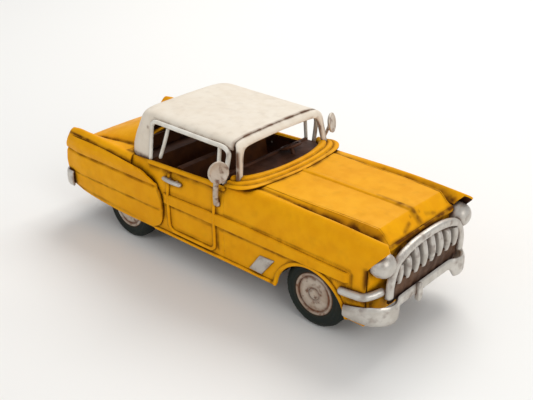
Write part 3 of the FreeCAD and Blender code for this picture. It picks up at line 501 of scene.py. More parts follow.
STEEL = painted(
    "bare steel", (168, 164, 158), (140, 134, 126), (70, 50, 36), roughness=0.34,
    metallic=1.0, patches=0.35, relief=0.02)
BRASS = painted(
    "gear brass", (196, 156, 84), (168, 126, 62), (70, 46, 24), roughness=0.32,
    metallic=1.0, patches=0.3, relief=0.02)
LEAD = painted(
    "flywheel metal", (120, 118, 116), (98, 96, 94), (50, 42, 36), roughness=0.45,
    metallic=0.9, patches=0.3, relief=0.04)
RUBBER = painted(
    "tyre rubber", (18, 24, 20), (28, 36, 30), (66, 54, 38), roughness=0.6,
    crevice=0.1, patches=0.15)
LAMP = painted(
    "red lamp paint", (150, 26, 18), (120, 18, 12), (40, 14, 8), roughness=0.22, coat=0.6,
    patches=0.1)


# ---- where the brown patina and the painted shade lie

def belt_z(x):
    """Height of the belt under the windows."""
    return 38.4 + (x + 27.6) * 0.045


# patina and painted shade under the belt wire and round the door
add_patina_and_shade([(-27, 26.2, belt_z(-27) - 1.7), (12, 26.0, belt_z(12) - 1.7)], 1.3, 1.0)
add_patina_and_shade([(-17.1, 26.3, 37), (-17.1, 26.8, 15)], 0.9, 0.9)
add_patina_and_shade([(-14.9, 26.3, 37), (-14.9, 26.8, 17)], 0.7, 0.8)
add_patina_and_shade([(9.0, 26.3, 38), (9.0, 26.8, 15)], 1.0, 0.95)
add_patina_and_shade([(6.7, 26.3, 38), (6.7, 26.8, 17)], 0.7, 0.7)
add_patina_and_shade([(-14, 26.6, 12.8), (6, 26.6, 12.8)], 0.9, 0.8)
add_patina_and_shade([(-13, 26.7, 15.0), (5, 26.7, 15.0)], 0.6, 0.6)
# along the side moulding
add_patina_and_shade([(-18, 26.9, 23.7), (66, 26.9, 23.8)], 0.8, 0.85)
add_patina_and_shade([(-18, 26.9, 29.4), (20, 26.9, 30.0), (67, 26.9, 29.2)], 0.7, 0.55)
# painted shade and patina in the valley between hood and fender
add_patina_and_shade([(21, 20.6, 41.6), (40, 20.4, 40.8), (58, 20.1, 39.2)], 1.5, 0.9)
add_patina_and_shade([(46, 20.8, 40.4), (60, 20.8, 40.0), (74, 20.2, 39.2)], 2.8, 1.0)
add_patina_and_shade([(62, 20.4, 39.6), (72, 20.0, 38.8)], 4.6, 1.0)
add_patina_and_shade([(66, 19.6, 40.0), (74, 19.4, 37.6)], 2.6, 0.8)
# on the hood's ridge and front slope
add_patina_and_shade([(58, 0, 42.4), (66, 0, 42.4)], 1.6, 0.45)
add_patina_and_shade([(66, 0, 42.4), (73.0, 0, 41.0), (75.0, 0, 38.2)], 2.4, 0.8)
add_patina_and_shade([(72.4, 2.6, 41.0)], 0.9, 0.7)
add_patina_and_shade([(73.6, 5.0, 39.6), (74.6, 9.0, 38.4)], 1.4, 0.6)
add_patina_and_shade([(21.4, 0, 42.6), (30, 0, 42.6), (56, 0, 42.6)], 0.5, 0.35)
# painted shade and patina behind the grille blades and round the headlight
add_patina_and_shade([(75.6, 19.2, 37.4), (75.8, 0, 37.4)], 1.6, 0.95)
for height in (24, 27, 30, 33):
    add_patina_and_shade([(75.0, 17.5, height), (75.0, 0, height)], 3.4, 1.0)
add_patina_and_shade([(75.4, 20, 34.6), (75.8, 0, 34.8)], 1.6, 0.8)
add_patina_and_shade([(74, 22, 20), (73.4, 26, 17), (66, 26.8, 16)], 2.6, 0.8)
add_patina_and_shade([(74.2, 26.2, 40.2), (80.2, 25.6, 40.9)], 1.1, 0.5)
add_patina_and_shade([(73, 26.6, 31.2), (73, 26.8, 18)], 2.0, 0.9)
add_patina_and_shade([(73.6, 25.0, 16.0), (73.6, 24.0, 20.4), (74.4, 21.6, 24.0)], 2.8, 0.9)
# round the foot of the windscreen surround
add_patina_and_shade([(26.6, 4, 42.5), (25.6, 13, 42.4), (22.0, 22, 42.4), (18, 27, 42.2), (13.6, 28.4, 41.8)], 1.2,
      0.75)
add_patina_and_shade([(13.8, 27.6, 42.0), (13.8, 28.2, 40.0)], 2.6, 0.9)
# painted shadow of the boot lid's raised edge, with patina, and painted shade under the rear window
add_patina_and_shade([(-39, 20, 39.2), (-52, 19.6, 37.7), (-65, 19.5, 35.7), (-75, 19.5, 32)], 1.5, 0.8)
add_patina_and_shade([(-37, 23.5, 38.4), (-41, 19, 40.5), (-41.6, 8, 42.8), (-41.6, 0, 43.2)], 1.4, 0.7)
# patina and painted shade round the rear quarter and in its creases
add_patina_and_shade([(-23, 27.4, 33.4), (-30, 27.4, 35.4), (-40, 27.4, 36.6), (-57, 27.4, 37.4), (-74, 26.6, 37.6)],
      1.0, 0.95)
add_patina_and_shade([(-19.4, 28.2, 16), (-18.6, 28.2, 24), (-21.6, 28.2, 31)], 1.0, 0.6)
add_patina_and_shade([(-23, 28.3, 30.1), (-76, 28.0, 30.1)], 0.8, 0.95)
add_patina_and_shade([(-21, 28.2, 21.0), (-75, 27.6, 21.0)], 0.7, 0.75)
add_patina_and_shade([(-30, 28.2, 12.2), (-72, 27.6, 14.8)], 1.4, 0.5)
# round the front arch and the fender's front corner
add_patina_and_shade([(34.6, 27, 11.5), (36.4, 27, 15), (42.4, 27, 23.2), (50.9, 27, 26.0), (59.6, 27, 23.2),
       (66, 27, 14)], 1.0, 0.85)
add_patina_and_shade([(66, 26.8, 19), (72.6, 26.6, 20)], 3.2, 0.8)
add_patina_and_shade([(67.7, 26.9, 28.0), (67.7, 26.9, 22)], 1.2, 0.7)
# along the roof's edges and the rear pillar
add_patina_and_shade([(13.2, 23.2, 53.0), (13.2, 22.4, 55.2), (13.2, 18, 56.6), (13.2, 0, 57.0)], 1.1, 1.0)
add_patina_and_shade([(13.2, 22.9, 53.3), (-26, 22.9, 53.1)], 1.1, 1.0)
add_patina_and_shade([(13.2, 22.6, 54.9), (-27, 22.6, 54.8)], 0.35, 0.35)
add_patina_and_shade([(-28.5, 24, 38), (-27.7, 23, 52)], 1.0, 0.9)
add_patina_and_shade([(-30.0, 23.4, 50.4)], 1.1, 1.0)
add_patina_and_shade([(-29, 24.6, 38.2), (-41, 24, 38.8), (-41.4, 18, 40.0), (-41.4, 0, 43.2)], 1.5, 0.9)
# on the windscreen pillar
add_patina_and_shade([(17.2, 24.8, 42), (16.6, 24.0, 47), (15.6, 23.4, 52.6)], 1.6, 0.95)
add_patina_and_shade([(12.0, 24.6, 42), (12.2, 24.0, 52)], 1.0, 0.9)
add_patina_and_shade([(16.6, 22.2, 43), (16.2, 21.0, 50), (15.6, 19.4, 53.4)], 0.9, 0.9)
add_patina_and_shade([(15.8, 17.0, 54.0), (15.8, 0, 54.4)], 0.5, 0.7)
# painted shade and patina between the beads of the surround
for grow in (0.1, 2.0, 3.85):
    sunk = grow * 0.3
    add_patina_and_shade([(21.0 + grow, 0, 43.6 - sunk), (20.6 + grow, 8, 43.6 - sunk), (18.4 + grow, 16, 43.6 - sunk),
           (16.6 + grow, 20.6 + grow, 43.4 - sunk), (13.6, 22.6 + grow, 43.0 - sunk)], 0.55, 0.8)


# ---- body side with its fender

LOWER = [(HALF - 0.6, SILL), (HALF - 0.1, SILL + 7), (HALF, SILL + 14), (HALF - 0.1, SILL + 20)]
FENDER_STATIONS = [
    (COWL_X, (CROWN - 0.6, 20.6, CROWN - 0.3)),
    (40.0, (CROWN, 20.4, CROWN - 1.4)),
    (60.0, (CROWN - 0.1, 20.0, CROWN - 3.3)),
    (74.0, (CROWN - 0.7, 19.8, CROWN - 4.1)),
    (81.3, (CROWN - 1.1, 19.8, CROWN - 4.5)),
]


def door_line(x):
    """Outer (y, z) line of the door at x, from the sill to the window sill."""
    belt = belt_z(x)
    swell = soft((x - 2) / (COWL_X - 2)) * 0.8
    line = LOWER + [(HALF - 0.9 + swell * 0.7, belt - 3.4), (HALF - 1.9 + swell, belt)]
    return through(line, 80)


def fender_line(x):
    """Outer (y, z) line of the fender at x, from the sill to the valley beside the hood."""
    crown, valley_y, valley_z = table_at(FENDER_STATIONS, x)
    ease = float(soft((x - COWL_X) / 14.0))
    line = LOWER + [
        (HALF - 0.2 - 0.1 * ease, crown - 6 - 0.4 * ease),
        (HALF - 0.75 - 0.3 * ease, crown - 2.4 - 0.9 * ease),
        (HALF - 1.5 - 0.8 * ease, crown - 0.9 - 0.3 * ease),
        (HALF - 3.0 - 0.8 * ease, crown - 0.1 - 0.1 * ease),
        (22.6 - 0.4 * ease, (crown * 2 + valley_z) / 3),
    ]
    top = through(line, 140)
    dip = [line[-1], (valley_y + 0.7, valley_z + 0.25 * (line[-1][1] - valley_z)), (valley_y, valley_z)]
    return np.concatenate([top, through(dip, 12)[1:]])


def side_y(x, z):
    """Half width of the body side at a place below the belt."""
    line = door_line(x) if x < COWL_X else fender_line(min(x, FENDER_END))[:110]
    return at_height(line, z)


def arch_floor(x):
    """Lower edge of the fender: the sill, or the wheel arch."""
    reach = ARCH_R ** 2 - (x - FRONT_AXLE_X) ** 2
    return max(SILL, ARCH_Z + math.sqrt(reach)) if reach > 0 else SILL


def column(x, line, rows):
    """Points up a section line from the lower edge at x."""
    low = arch_floor(x)
    start = at_height(line[:60], low)
    kept = line[line[:, 1] > low + 0.01] if low > SILL else line[1:]
    return at_x(x, evenly(np.vstack([[start, low], kept]), rows))


def body_side():
    """Left body side: door sheet, fender sheet and the brow over the headlight."""
    door = [column(x, door_line(x), 34) for x in np.linspace(-40, COWL_X, 60)]
    turns = np.linspace(math.pi - 0.15, 0.15, 34)
    places = list(np.linspace(COWL_X, 35.2, 24))
    places += [FRONT_AXLE_X + ARCH_R * 0.995 * math.cos(turn) for turn in turns]
    places += list(np.linspace(66.4, CORNER_X, 10))
    fender = [column(x, fender_line(x), 64) for x in places]
    corner_rows = column(CORNER_X, fender_line(CORNER_X), 64)
    first = int(np.argmax(corner_rows[:, 2] > BROW_LOW))
    brow = []
    for share in np.linspace(0, 1, 12):
        strip = []
        for row in range(first, 64):
            y, z = corner_rows[row, 1], corner_rows[row, 2]
            tip = CORNER_X + (BROW_X - CORNER_X) * min((z - BROW_LOW) / 9.5, 1)
            if y < 26.2:
                tip = min(tip, BROW_X - 5.2 * float(soft((26.2 - y) / 6.6)) ** 0.8)
            x = CORNER_X + (tip - CORNER_X) * share
            strip.append(column(x, fender_line(x), 64)[row])
        brow.append(strip)
    return together([grid_part(door), grid_part(fender), grid_part(brow)])


for side, sign in SIDES:
    shell_piece(
        "side_sheet_" + side, on_side(body_side(), sign), YELLOW, (0, sign, 0.2), metal=0.7,
        lining=INSIDE,
        edge=0.15, wobble=0.10, seed=3 + sign, replaces="body_side_" + side)


# ---- hood and nose

HOOD_BREAK = 70.6
HOOD_SLOPE = 4.6
HOOD_STATIONS = [
    (21.0, (20.4, 0.6, HOOD_TOP, 0.0)),
    (27.0, (20.3, 0.9, HOOD_TOP, 0.45)),
    (45.0, (20.2, 1.9, HOOD_TOP, 0.55)),
    (66.0, (19.7, 3.1, HOOD_TOP - 0.15, 0.55)),
    (HOOD_BREAK, (19.5, 3.4, HOOD_TOP - 0.35, 0.5)),
]


def hood_line(x):
    """Outer (y, z) line of the hood at x, from the left edge to the right one."""
    edge, drop, top, ridge = table_at(HOOD_STATIONS, min(x, HOOD_BREAK))
    if x > HOOD_BREAK:
        slope = (x - HOOD_BREAK) / HOOD_SLOPE
        top -= 4.35 * slope ** 1.12
        drop = 3.4 + (0.35 - 3.4) * slope
        ridge *= 1 - 0.6 * slope
        edge -= 0.2 * slope
    half = [
        (edge + 0.35, top - drop - 0.05), (edge - 0.7, top - drop * 0.45), (edge - 1.3, top - 0.35),
        (edge - 2.1, top - 0.1), (edge / 2, top + 0.02), (2.2, top + 0.05), (1.3, top + 0.1),
        (0.8, top + 0.1 + ridge * 0.6), (0.3, top + ridge), (0, top + ridge),
    ]
    counts = (6, 4, 4, 12, 10, 3, 3, 3, 2)
    points = [half[0]]
    for index, count in enumerate(counts):
        at = np.linspace(index, index + 1, count + 1)[1:]
        points += list(spline(half, at))
    return both_halves(points)


def hood():
    """Hood sheet with its centre ridge, its side skirts and the slope to the nose."""
    places = np.concatenate([
        np.linspace(20.6, 70.0, 70), np.linspace(70.3, 71.4, 7), np.linspace(71.9, 75.2, 9)])
    grid = []
    for x in places:
        grid.append(at_x(x, hood_line(x)))
    return grid_part(grid)


shell_piece(
    "hood_sheet", hood(), YELLOW, (0, 0, 1), metal=0.6, edge=0.12, wobble=0.08, seed=7,
    replaces="hood")


def nose():
    """Front sheet under the hood with the rolled strip above the grille."""
    plan = smooth_line([(73.2, 26.0), (74.2, 22.0), (74.5, 19.0), (74.9, 10.0), (75.0, 0.0)], 40)
    plan = both_halves(plan, (1, -1))
    grid = []
    for z in np.linspace(14.2, 36.0, 26):
        grid.append(np.column_stack([plan, np.full(len(plan), z)]))
    section = [
        (74.6, 37.3), (75.5, 37.45), (75.95, 36.9), (75.9, 36.0), (75.5, 35.3), (74.6, 35.2),
        (74.1, 36.2),
    ]
    line = through(section + section[:1], 22)[:-1]
    roll = []
    for y in np.linspace(-19.0, 19.0, 60):
        bow = 0.35 * (1 - (y / 19.0) ** 2)
        roll.append([(x - 0.2 + bow * 0.3, y, z + bow * 0.2) for x, z in line])
    return grid_part(grid), loft(roll)


NOSE_SHEET, NOSE_ROLL = nose()
shell_piece(
    "nose_sheet", NOSE_SHEET, YELLOW, (1, 0, 0), metal=0.6, edge=0.12, seed=8,
    replaces="nose_panel")
shell_piece("nose_roll", NOSE_ROLL, YELLOW, seed=9)


# ---- cowl surround

def surround_plan(grow, turns):
    """Plan of the surround, grown outwards, from its left foot to its right foot."""
    width = 22.6 + grow
    half = [
        (13.7, width), (17.6 + grow - 4.2, width - 0.2), (17.6 + grow - 1.2, width - 2.4),
        (17.8 + grow + 0.8, width - 7.5), (20.2 + grow * 0.98, width * 0.36), (20.6 + grow, 0),
    ]
    return spline(both_halves(half, (1, -1)), turns)


def cowl_surround():
    """Three stepped beads round the foot of the windscreen."""
    turns = np.linspace(0, 10, 121)
    profile = [(5.6, 42.3), (5.55, 42.7)]
    steps = ((42.5, 43.0, 5.6, 3.9), (43.0, 43.7, 3.9, 2.1), (43.7, 44.4, 2.1, 0.0))
    for low, high, outer, inner in steps:
        for share, lift in ((0.06, 0.45), (0.22, 0.9), (0.5, 1.1), (0.78, 0.9), (0.93, 0.3)):
            profile.append((outer + (inner - outer) * share, low + (high - low) * lift))
    profile += [(0.0, 43.4), (0.0, 42.3)]
    plans = [surround_plan(grow, turns) for grow, _ in profile]
    rings = []
    for index in range(len(turns)):
        ring = []
        for plan, (grow, z) in zip(plans, profile):
            droop = 0.5 * soft(1 - (plan[index][0] - 13.6) / 5.0) * min(grow / 3, 1)
            ring.append((plan[index][0], plan[index][1], z - droop))
        rings.append(ring)
    return loft(rings)


shell_piece(
    "surround_beads", cowl_surround(), YELLOW, wobble=0.06, seed=11, replaces="cowl_surround")


# ---- deck, tail and rear quarters

DECK_STATIONS = [
    (-76.4, (31.6, 31.2, 35.6, 2.4)),
    (-74.6, (33.1, 32.7, 38.6, 3.2)),
    (-72.0, (34.7, 34.0, 39.4, 3.4)),
    (-65.0, (38.0, 35.6, 39.4, 3.4)),
    (-52.0, (42.4, 37.6, 38.8, 3.4)),
    (-37.0, (44.6, 39.4, 38.2, 3.4)),
]


def deck():
    """Rear deck: shoulders over the rear quarters, valleys, and the raised lid between them."""
    grid = []
    for x in np.linspace(-76.4, -37.0, 64):
        centre, valley, shoulder, skirt = table_at(DECK_STATIONS, x)
        rise = centre - valley
        half = [
            (HALF + 0.2, shoulder - skirt), (HALF - 0.1, shoulder - skirt / 2), (26.0, shoulder - 0.4),
            (24.6, shoulder), (22.4, (shoulder * 2 + valley) / 3 - 0.2), (19.9, valley), (19.5, valley),
            (18.9, valley + rise * 0.2), (17.2, valley + rise * 0.46), (13.0, valley + rise * 0.76),
            (7.0, centre - rise * 0.06), (0, centre),
        ]
        grid.append(at_x(x, both_halves(through(half, 78))))
    return grid_part(grid)


shell_piece(
    "deck_sheet", deck(), YELLOW, (0, 0, 1), metal=0.6, edge=0.12, seed=13, replaces="rear_deck")


def tail():
    """Upright sheet behind the boot."""
    grid = []
    for y in np.linspace(-26.6, 26.6, 60):
        curve = -0.5 * (1 - (y / 26.6) ** 2)
        line = through([(-75.5, 14.2), (-76.2, 19.0), (-76.5, 24.0), (-76.2, 28.0), (-75.7, 31.0)], 24)
        grid.append([(x + 0.5 + curve, y, z) for x, z in line])
    return grid_part(grid)


shell_piece(
    "tail_sheet", tail(), YELLOW, (-1, 0, 0), metal=0.6, edge=0.12, seed=14, replaces="tail_panel")


QUARTER_SECTION = [
    (27.0, 11.0), (27.7, 15.0), (28.05, 19.0), (28.15, 20.9), (28.35, 21.8), (28.5, 25.0), (28.35, 29.4),
    (28.1, 30.3), (28.7, 31.4), (28.95, 33.2), (28.7, 35.0), (27.8, 36.8), (26.8, 38.0),
]
CREASES = ((30.2, 0.35), (21.2, 0.28))


def quarter_y(x, z):
    """Half width of the rear quarter: an upper bulge and two creases."""
    y = at_height(QUARTER_SECTION, z)
    for height, depth in CREASES:
        y -= depth * max(0.0, 1 - abs(z - height) / 0.6)
    y -= 1.1 * float(soft((-66.0 - x) / 12.0)) + 0.3 * float(soft((x + 26) / 8.0))
    return y


def quarter():
    """Left rear quarter, the long overlay that covers the upper half of the rear wheel."""
    front = smooth_line([(-25.0, 12.1), (-21.2, 14.4), (-19.2, 18.6), (-18.9, 24.0), (-20.2, 28.6),
                         (-23.4, 32.2)], 52)
    back = smooth_line([(-73.1, 14.7), (-75.9, 18.4), (-77.1, 25.0), (-76.3, 31.8), (-74.2, 36.8)], 52)
    low = smooth_line([(-25.0, 12.1), (-34.0, 11.5), (-44.0, 11.5), (-60.0, 12.6), (-73.1, 14.7)], 110)
    high = smooth_line([(-23.4, 32.2), (-29.5, 34.8), (-39.9, 35.9), (-56.7, 36.9), (-74.2, 36.8)], 110)
    flat = patch(low, high, front, back)
    grid = []
    for strip in flat:
        grid.append([(x, quarter_y(x, z), z) for x, z in strip])
    return grid_part(grid)


for side, sign in SIDES:
    shell_piece(
        "quarter_sheet_" + side, on_side(quarter(), sign), YELLOW, (0, sign, 0), metal=0.9, edge=0.3,
        wobble=0.10, seed=15 + sign, replaces="rear_quarter_" + side)


# ---- roof and windscreen frame

ROOF_LEVELS = [
    (0, ROOF_TOP), (5.5, ROOF_TOP - 0.03), (11.0, ROOF_TOP - 0.12), (16.0, ROOF_TOP - 0.3),
    (19.4, ROOF_TOP - 0.55), (21.1, ROOF_TOP - 0.95), (22.1, ROOF_TOP - 1.6), (22.65, GUTTER + 0.3),
    (22.85, GUTTER - 0.9), (23.0, 51.4), (23.3, 48.0), (23.6, 46.0), (24.0, 42.0), (24.3, ROOF_BASE),
]
BACK_SLOPE = [
    (-41.4, ROOF_BASE), (-41.2, 42.0), (-40.0, 46.0), (-38.4, 50.0), (-36.9, 53.2), (-35.9, 54.8),
    (-34.8, 55.8), (-33.5, 56.5), (-31.8, ROOF_TOP),
]
WINDOW_TOP = GUTTER - 0.9
WINDOW_EDGE = [
    (-28.6, ROOF_BASE), (-28.2, 44.0), (-27.9, 50.6), (-27.2, 52.2), (-25.9, 53.1), (-24.6, WINDOW_TOP),
]
# half width, lower edge, upper edge and corner radius
REAR_WINDOW = (15.5, 46.0, 52.4, 2.0)
ROOF_FRONT_X = 13.2
ROOF_CORNER = 5.0


def roof_back(z, y):
    """Where the roof's back slope is at a height, bowed a little in plan."""
    return at_height(BACK_SLOPE, z) + 0.7 * (abs(y) / 24.0) ** 2


def window_rear(z):
    """Rear edge of the side window."""
    return at_height(WINDOW_EDGE, z)


def roof_ring(half_width, z, ends=(26, 12, 10, 27)):
    """U-shaped ring of the roof at a height: left side, round corner, back, right side."""
    along, pillar, corner, across = ends
    crown = ROOF_CORNER * max(0.0, 1 - half_width / 14.0)
    back = roof_back(z, half_width) + crown
    radius = min(ROOF_CORNER, half_width * 0.6)
    edge = min(window_rear(z), 0) if z <= WINDOW_TOP + 0.01 else window_rear(WINDOW_TOP)
    points = [(x, half_width) for x in np.linspace(ROOF_FRONT_X, edge, along)]
    points += [(x, half_width) for x in np.linspace(edge, back + radius, pillar)[1:]]
    for turn in np.linspace(0, math.pi / 2, corner)[1:]:
        points.append((back + radius - radius * math.sin(turn),
                       half_width - radius * (1 - math.cos(turn))))
    stop = half_width - radius
    for y in np.linspace(stop, 0, across)[1:]:
        points.append((roof_back(z, y) + crown, y))
    return [(x, y, z) for x, y in both_halves(points, (1, -1))]


def roof():
    """Roof sheet with both rear pillars, the side window openings and the rear window."""
    levels = through(ROOF_LEVELS, 92)
    levels[:, 1] = np.minimum.accumulate(np.minimum(levels[:, 1], ROOF_TOP - 0.1))
    for special in (WINDOW_TOP, REAR_WINDOW[1], REAR_WINDOW[2]):
        levels[int(np.argmin(np.abs(levels[:, 1] - special))), 1] = special
    grid = np.array([roof_ring(width, z) for width, z in levels])
    half_width, low, high, radius = REAR_WINDOW
    rows, cols = grid.shape[:2]
    nearest = int(np.argmin(np.abs(grid[-20, cols // 4:cols // 2, 1] - half_width))) + cols // 4
    for column_index in (nearest, cols - 1 - nearest):
        for row in range(rows):
            if grid[row, column_index, 2] < high + 2.5:
                grid[row, column_index, 1] = math.copysign(half_width, grid[row, column_index, 1])
                grid[row, column_index, 0] = roof_back(grid[row, column_index, 2], half_width)
    holes = np.zeros((rows - 1, cols - 1), bool)
    for i in range(rows - 1):
        z = (grid[i, 0, 2] + grid[i + 1, 0, 2]) / 2
        for j in range(cols - 1):
            y = abs(grid[i, j, 1] + grid[i, j + 1, 1]) / 2
            side_window = z < WINDOW_TOP and (j < 25 or j >= cols - 26)
            across_back = nearest <= j < cols - 1 - nearest and y < half_width
            holes[i, j] = side_window or (low < z < high and across_back)
    for i in range(rows):
        for j in range(nearest, cols - nearest):
            y, z = grid[i, j, 1:]
            over = abs(y) - (half_width - radius)
            up = max((low + radius) - z, z - (high - radius))
            inside = low - 0.01 <= z <= high + 0.01 and abs(y) <= half_width + 0.01
            on_edge = abs(abs(y) - half_width) < 0.02 or abs(z - low) < 0.02 or abs(z - high) < 0.02
            if inside and on_edge and over > 0 and up > 0:
                scale = radius / math.hypot(over, up)
                new_y = math.copysign(half_width - radius + over * scale, y)
                centre_z = low + radius if z < (low + high) / 2 else high - radius
                new_z = centre_z + (z - centre_z) * scale
                grid[i, j] = (roof_back(new_z, new_y), new_y, new_z)
    return grid_part(grid, holes)


shell_piece(
    "roof_sheet", roof(), CREAM, (0, 0, 1), metal=0.7, lining=INSIDE, edge=0.16, wobble=0.10,
    seed=21, weld=0.15, replaces="roof_panel")


# share of the way from the outer edge to the inner one, and depth behind the front face
ARCH_SECTION = (
    (0.0, 0.5), (0.04, 0.12), (0.14, 0.0), (0.5, -0.05), (0.86, 0.0), (0.96, 0.12), (1.0, 0.5),
    (1.0, 0.95), (0.5, 1.15), (0.0, 0.95),
)


def windscreen_frame():
    """Header strip in front of the roof and the two slanted front pillars, in one arch."""
    outer = [(24.9, 41.6), (24.2, 46.0), (23.5, 50.6), (23.0, 53.4), (22.2, 55.3), (19.6, 56.1),
             (13.0, 56.5), (0, 56.75)]
    inner = [(22.4, 41.6), (21.5, 46.0), (20.6, 50.4), (19.9, 52.5), (18.6, 53.6), (16.4, 53.9),
             (11.0, 54.1), (0, 54.3)]
    whole_outer = both_halves(through(outer, 64))
    whole_inner = both_halves(through(inner, 64))

    def front(z):
        return float(np.interp(z, (41.0, 53.6, 54.6, 55.9, 56.8), (17.6, 15.9, 15.5, 14.4, 13.25)))

    rings = []
    for (oy, oz), (iy, iz) in zip(whole_outer, whole_inner):
        ring = []
        for share, depth in ARCH_SECTION:
            y = oy + (iy - oy) * share
            z = oz + (iz - oz) * share
            ring.append((max(front(z) - depth, ROOF_FRONT_X - 0.1), y, z))
        rings.append(ring)
    return loft(rings)


shell_piece(
    "screen_arch", windscreen_frame(), CREAM, wobble=0.06, seed=22, replaces="windshield_frame")


# ---- wires, beads and small trim

def on_body(points, proud=0.0):
    """(x, z) points laid on the left body side."""
    return [(x, side_y(x, z) + proud, z) for x, z in points]


def window_rods():
    """Gutter wire that runs down as the front post, and the three upright rods."""
    gutter = [(-27.3, 22.9, 52.2), (-26.2, 23.05, 53.3)]
    gutter += [(x, 23.1 + 0.007 * (x + 26), GUTTER - 0.45) for x in np.linspace(-24.5, 8.5, 8)]
    gutter += [(10.8, 23.4, GUTTER - 1.0), (12.0, 23.5, GUTTER - 2.4), (12.1, 23.9, 50.0),
               (11.5, 24.3, 46.0), (10.6, 24.7, 41.0)]
    parts = [tube(gutter, 0.85)]
    parts.append(tube([(-27.8, 24.4, 39.0), (-27.8, 23.7, 45.0), (-27.6, 22.9, 52.4)], 0.72))
    parts.append(tube([(-24.0, 22.9, 39.9), (-21.6, 22.7, 46.0), (-19.2, 22.4, GUTTER - 1.0)], 0.7))
    parts.append(tube([(7.3, 24.2, 40.6), (7.25, 23.6, 47.0), (7.3, 23.0, GUTTER - 0.8)], 0.72))
    return together(parts)


def door_trim():
    """Wire outline of the door, and the belt wire under the windows."""
    rear, front, low, round_end = -16.0, 7.8, 13.8, 3.0
    outline = [(rear, z) for z in np.linspace(belt_z(rear) - 1.2, low + round_end, 14)]
    for turn in np.linspace(0.2, math.pi / 2, 5):
        outline.append((rear + round_end * (1 - math.cos(turn)), low + round_end * (1 - math.sin(turn))))
    outline += [(x, low) for x in np.linspace(rear + round_end + 1, front - round_end - 1, 10)]
    for turn in np.linspace(math.pi / 2, 0.2, 5):
        outline.append((front - round_end * (1 - math.cos(turn)), low + round_end * (1 - math.sin(turn))))
    outline += [(front, z) for z in np.linspace(low + round_end, belt_z(front) - 1.2, 14)]
    places = np.linspace(-27.2, COWL_X, 16)
    belt = [(x, side_y(x, belt_z(x) - 0.9) + 0.15, belt_z(x) - 0.55) for x in places]
    return together([tube(on_body(outline, 0.1), 0.8, spacing=0.6), tube(belt, 0.95)])


def sill_bead():
    """Bead along the sill and over the front wheel arch."""
    rail = on_body([(x, SILL + 0.7) for x in np.linspace(-24.6, 35.6, 30)], 0.0)
    arch = []
    for turn in np.linspace(math.pi - 0.16, 0.16, 50):
        x = FRONT_AXLE_X + (ARCH_R + 0.75) * math.cos(turn)
        z = ARCH_Z + (ARCH_R + 0.75) * math.sin(turn)
        arch.append((x, side_y(min(x, CORNER_X), z) + 0.02, z))
    return together([tube(rail, 0.8), tube(arch, 0.8, smooth=False, spacing=0.8)])


# share of the band's height, and how far it stands out
BAND_SECTION = (
    (0, -0.5), (0.02, 0.2), (0.09, 0.72), (0.2, 0.78), (0.5, 0.6), (0.8, 0.78), (0.91, 0.72),
    (0.98, 0.2), (1, -0.5),
)


def side_moulding():
    """Raised band along the door and the fender."""
    grid = []
    for x in np.linspace(-19.0, 67.5, 120):
        low = 24.3
        high = 28.8 + 0.6 * float(soft((x + 19) / 39)) - 1.0 * float(soft((x - 20) / 47))
        taper = float(soft((67.5 - x) / 2.2)) * float(soft((x + 19.0) / 1.0))
        strip = []
        for share, lift in BAND_SECTION:
            z = low + (high - low) * share
            strip.append((x, side_y(x, z) + lift * max(taper, 0.0) - 0.25 * (1 - taper), z))
        grid.append(strip)
    return grid_part(grid)


def fender_plate():
    """Slanted silver plate low on the fender."""
    corners = [(24.2, 13.2), (30.0, 12.9), (36.0, 20.6), (29.4, 20.3)]
    grid = []
    lifts = (-0.4, 0.35, 0.68, 0.7, 0.7, 0.68, 0.35, -0.4)
    shares = (0.0, 0.01, 0.06, 0.2, 0.8, 0.94, 0.99, 1.0)
    for u, lift_u in zip(shares, lifts):
        strip = []
        for v, lift_v in zip(shares, lifts):
            low = np.array(corners[0]) * (1 - u) + np.array(corners[1]) * u
            high = np.array(corners[3]) * (1 - u) + np.array(corners[2]) * u
            x, z = low * (1 - v) + high * v
            strip.append((x, side_y(x, z) + min(lift_u, lift_v), z))
        grid.append(strip)
    return grid_part(grid)


for side, sign in SIDES:
    shell_piece("rods_" + side, on_side(window_rods(), sign), WHITE, wobble=0.05, seed=31,
                replaces="window_rods_" + side)
    shell_piece("door_wire_" + side, on_side(door_trim(), sign), YELLOW, wobble=0.05, seed=32,
                replaces="door_trim_" + side)
    shell_piece("sill_wire_" + side, on_side(sill_bead(), sign), YELLOW, wobble=0.05, seed=33,
                replaces="sill_bead_" + side)
    shell_piece("moulding_band_" + side, on_side(side_moulding(), sign), YELLOW, (0, sign, 0),
                wobble=0.05, seed=34, replaces="side_moulding_" + side)
shell_piece("slanted_plates", both(fender_plate()), SILVER, wobble=0.03, seed=35,
            replaces="fender_plates")


def handle():
    """Door handle: a bent bar on two feet."""
    y = HALF + 0.6
    grip = tube([(-17.6, y - 0.3, 34.75), (-15.6, y + 0.1, 34.7), (-12.0, y + 0.1, 34.6),
                 (-9.6, y - 0.3, 34.5)], 0.95, flat=0.8)
    feet = [tube([(x, HALF - 1.0, 34.6), (x, HALF + 0.4, 34.6)], 0.6) for x in (-15.4, -11.6)]
    return together([grip] + feet)


shell_piece("handle_bars", both(handle()), SILVER, wobble=0.05, seed=36, replaces="door_handles")


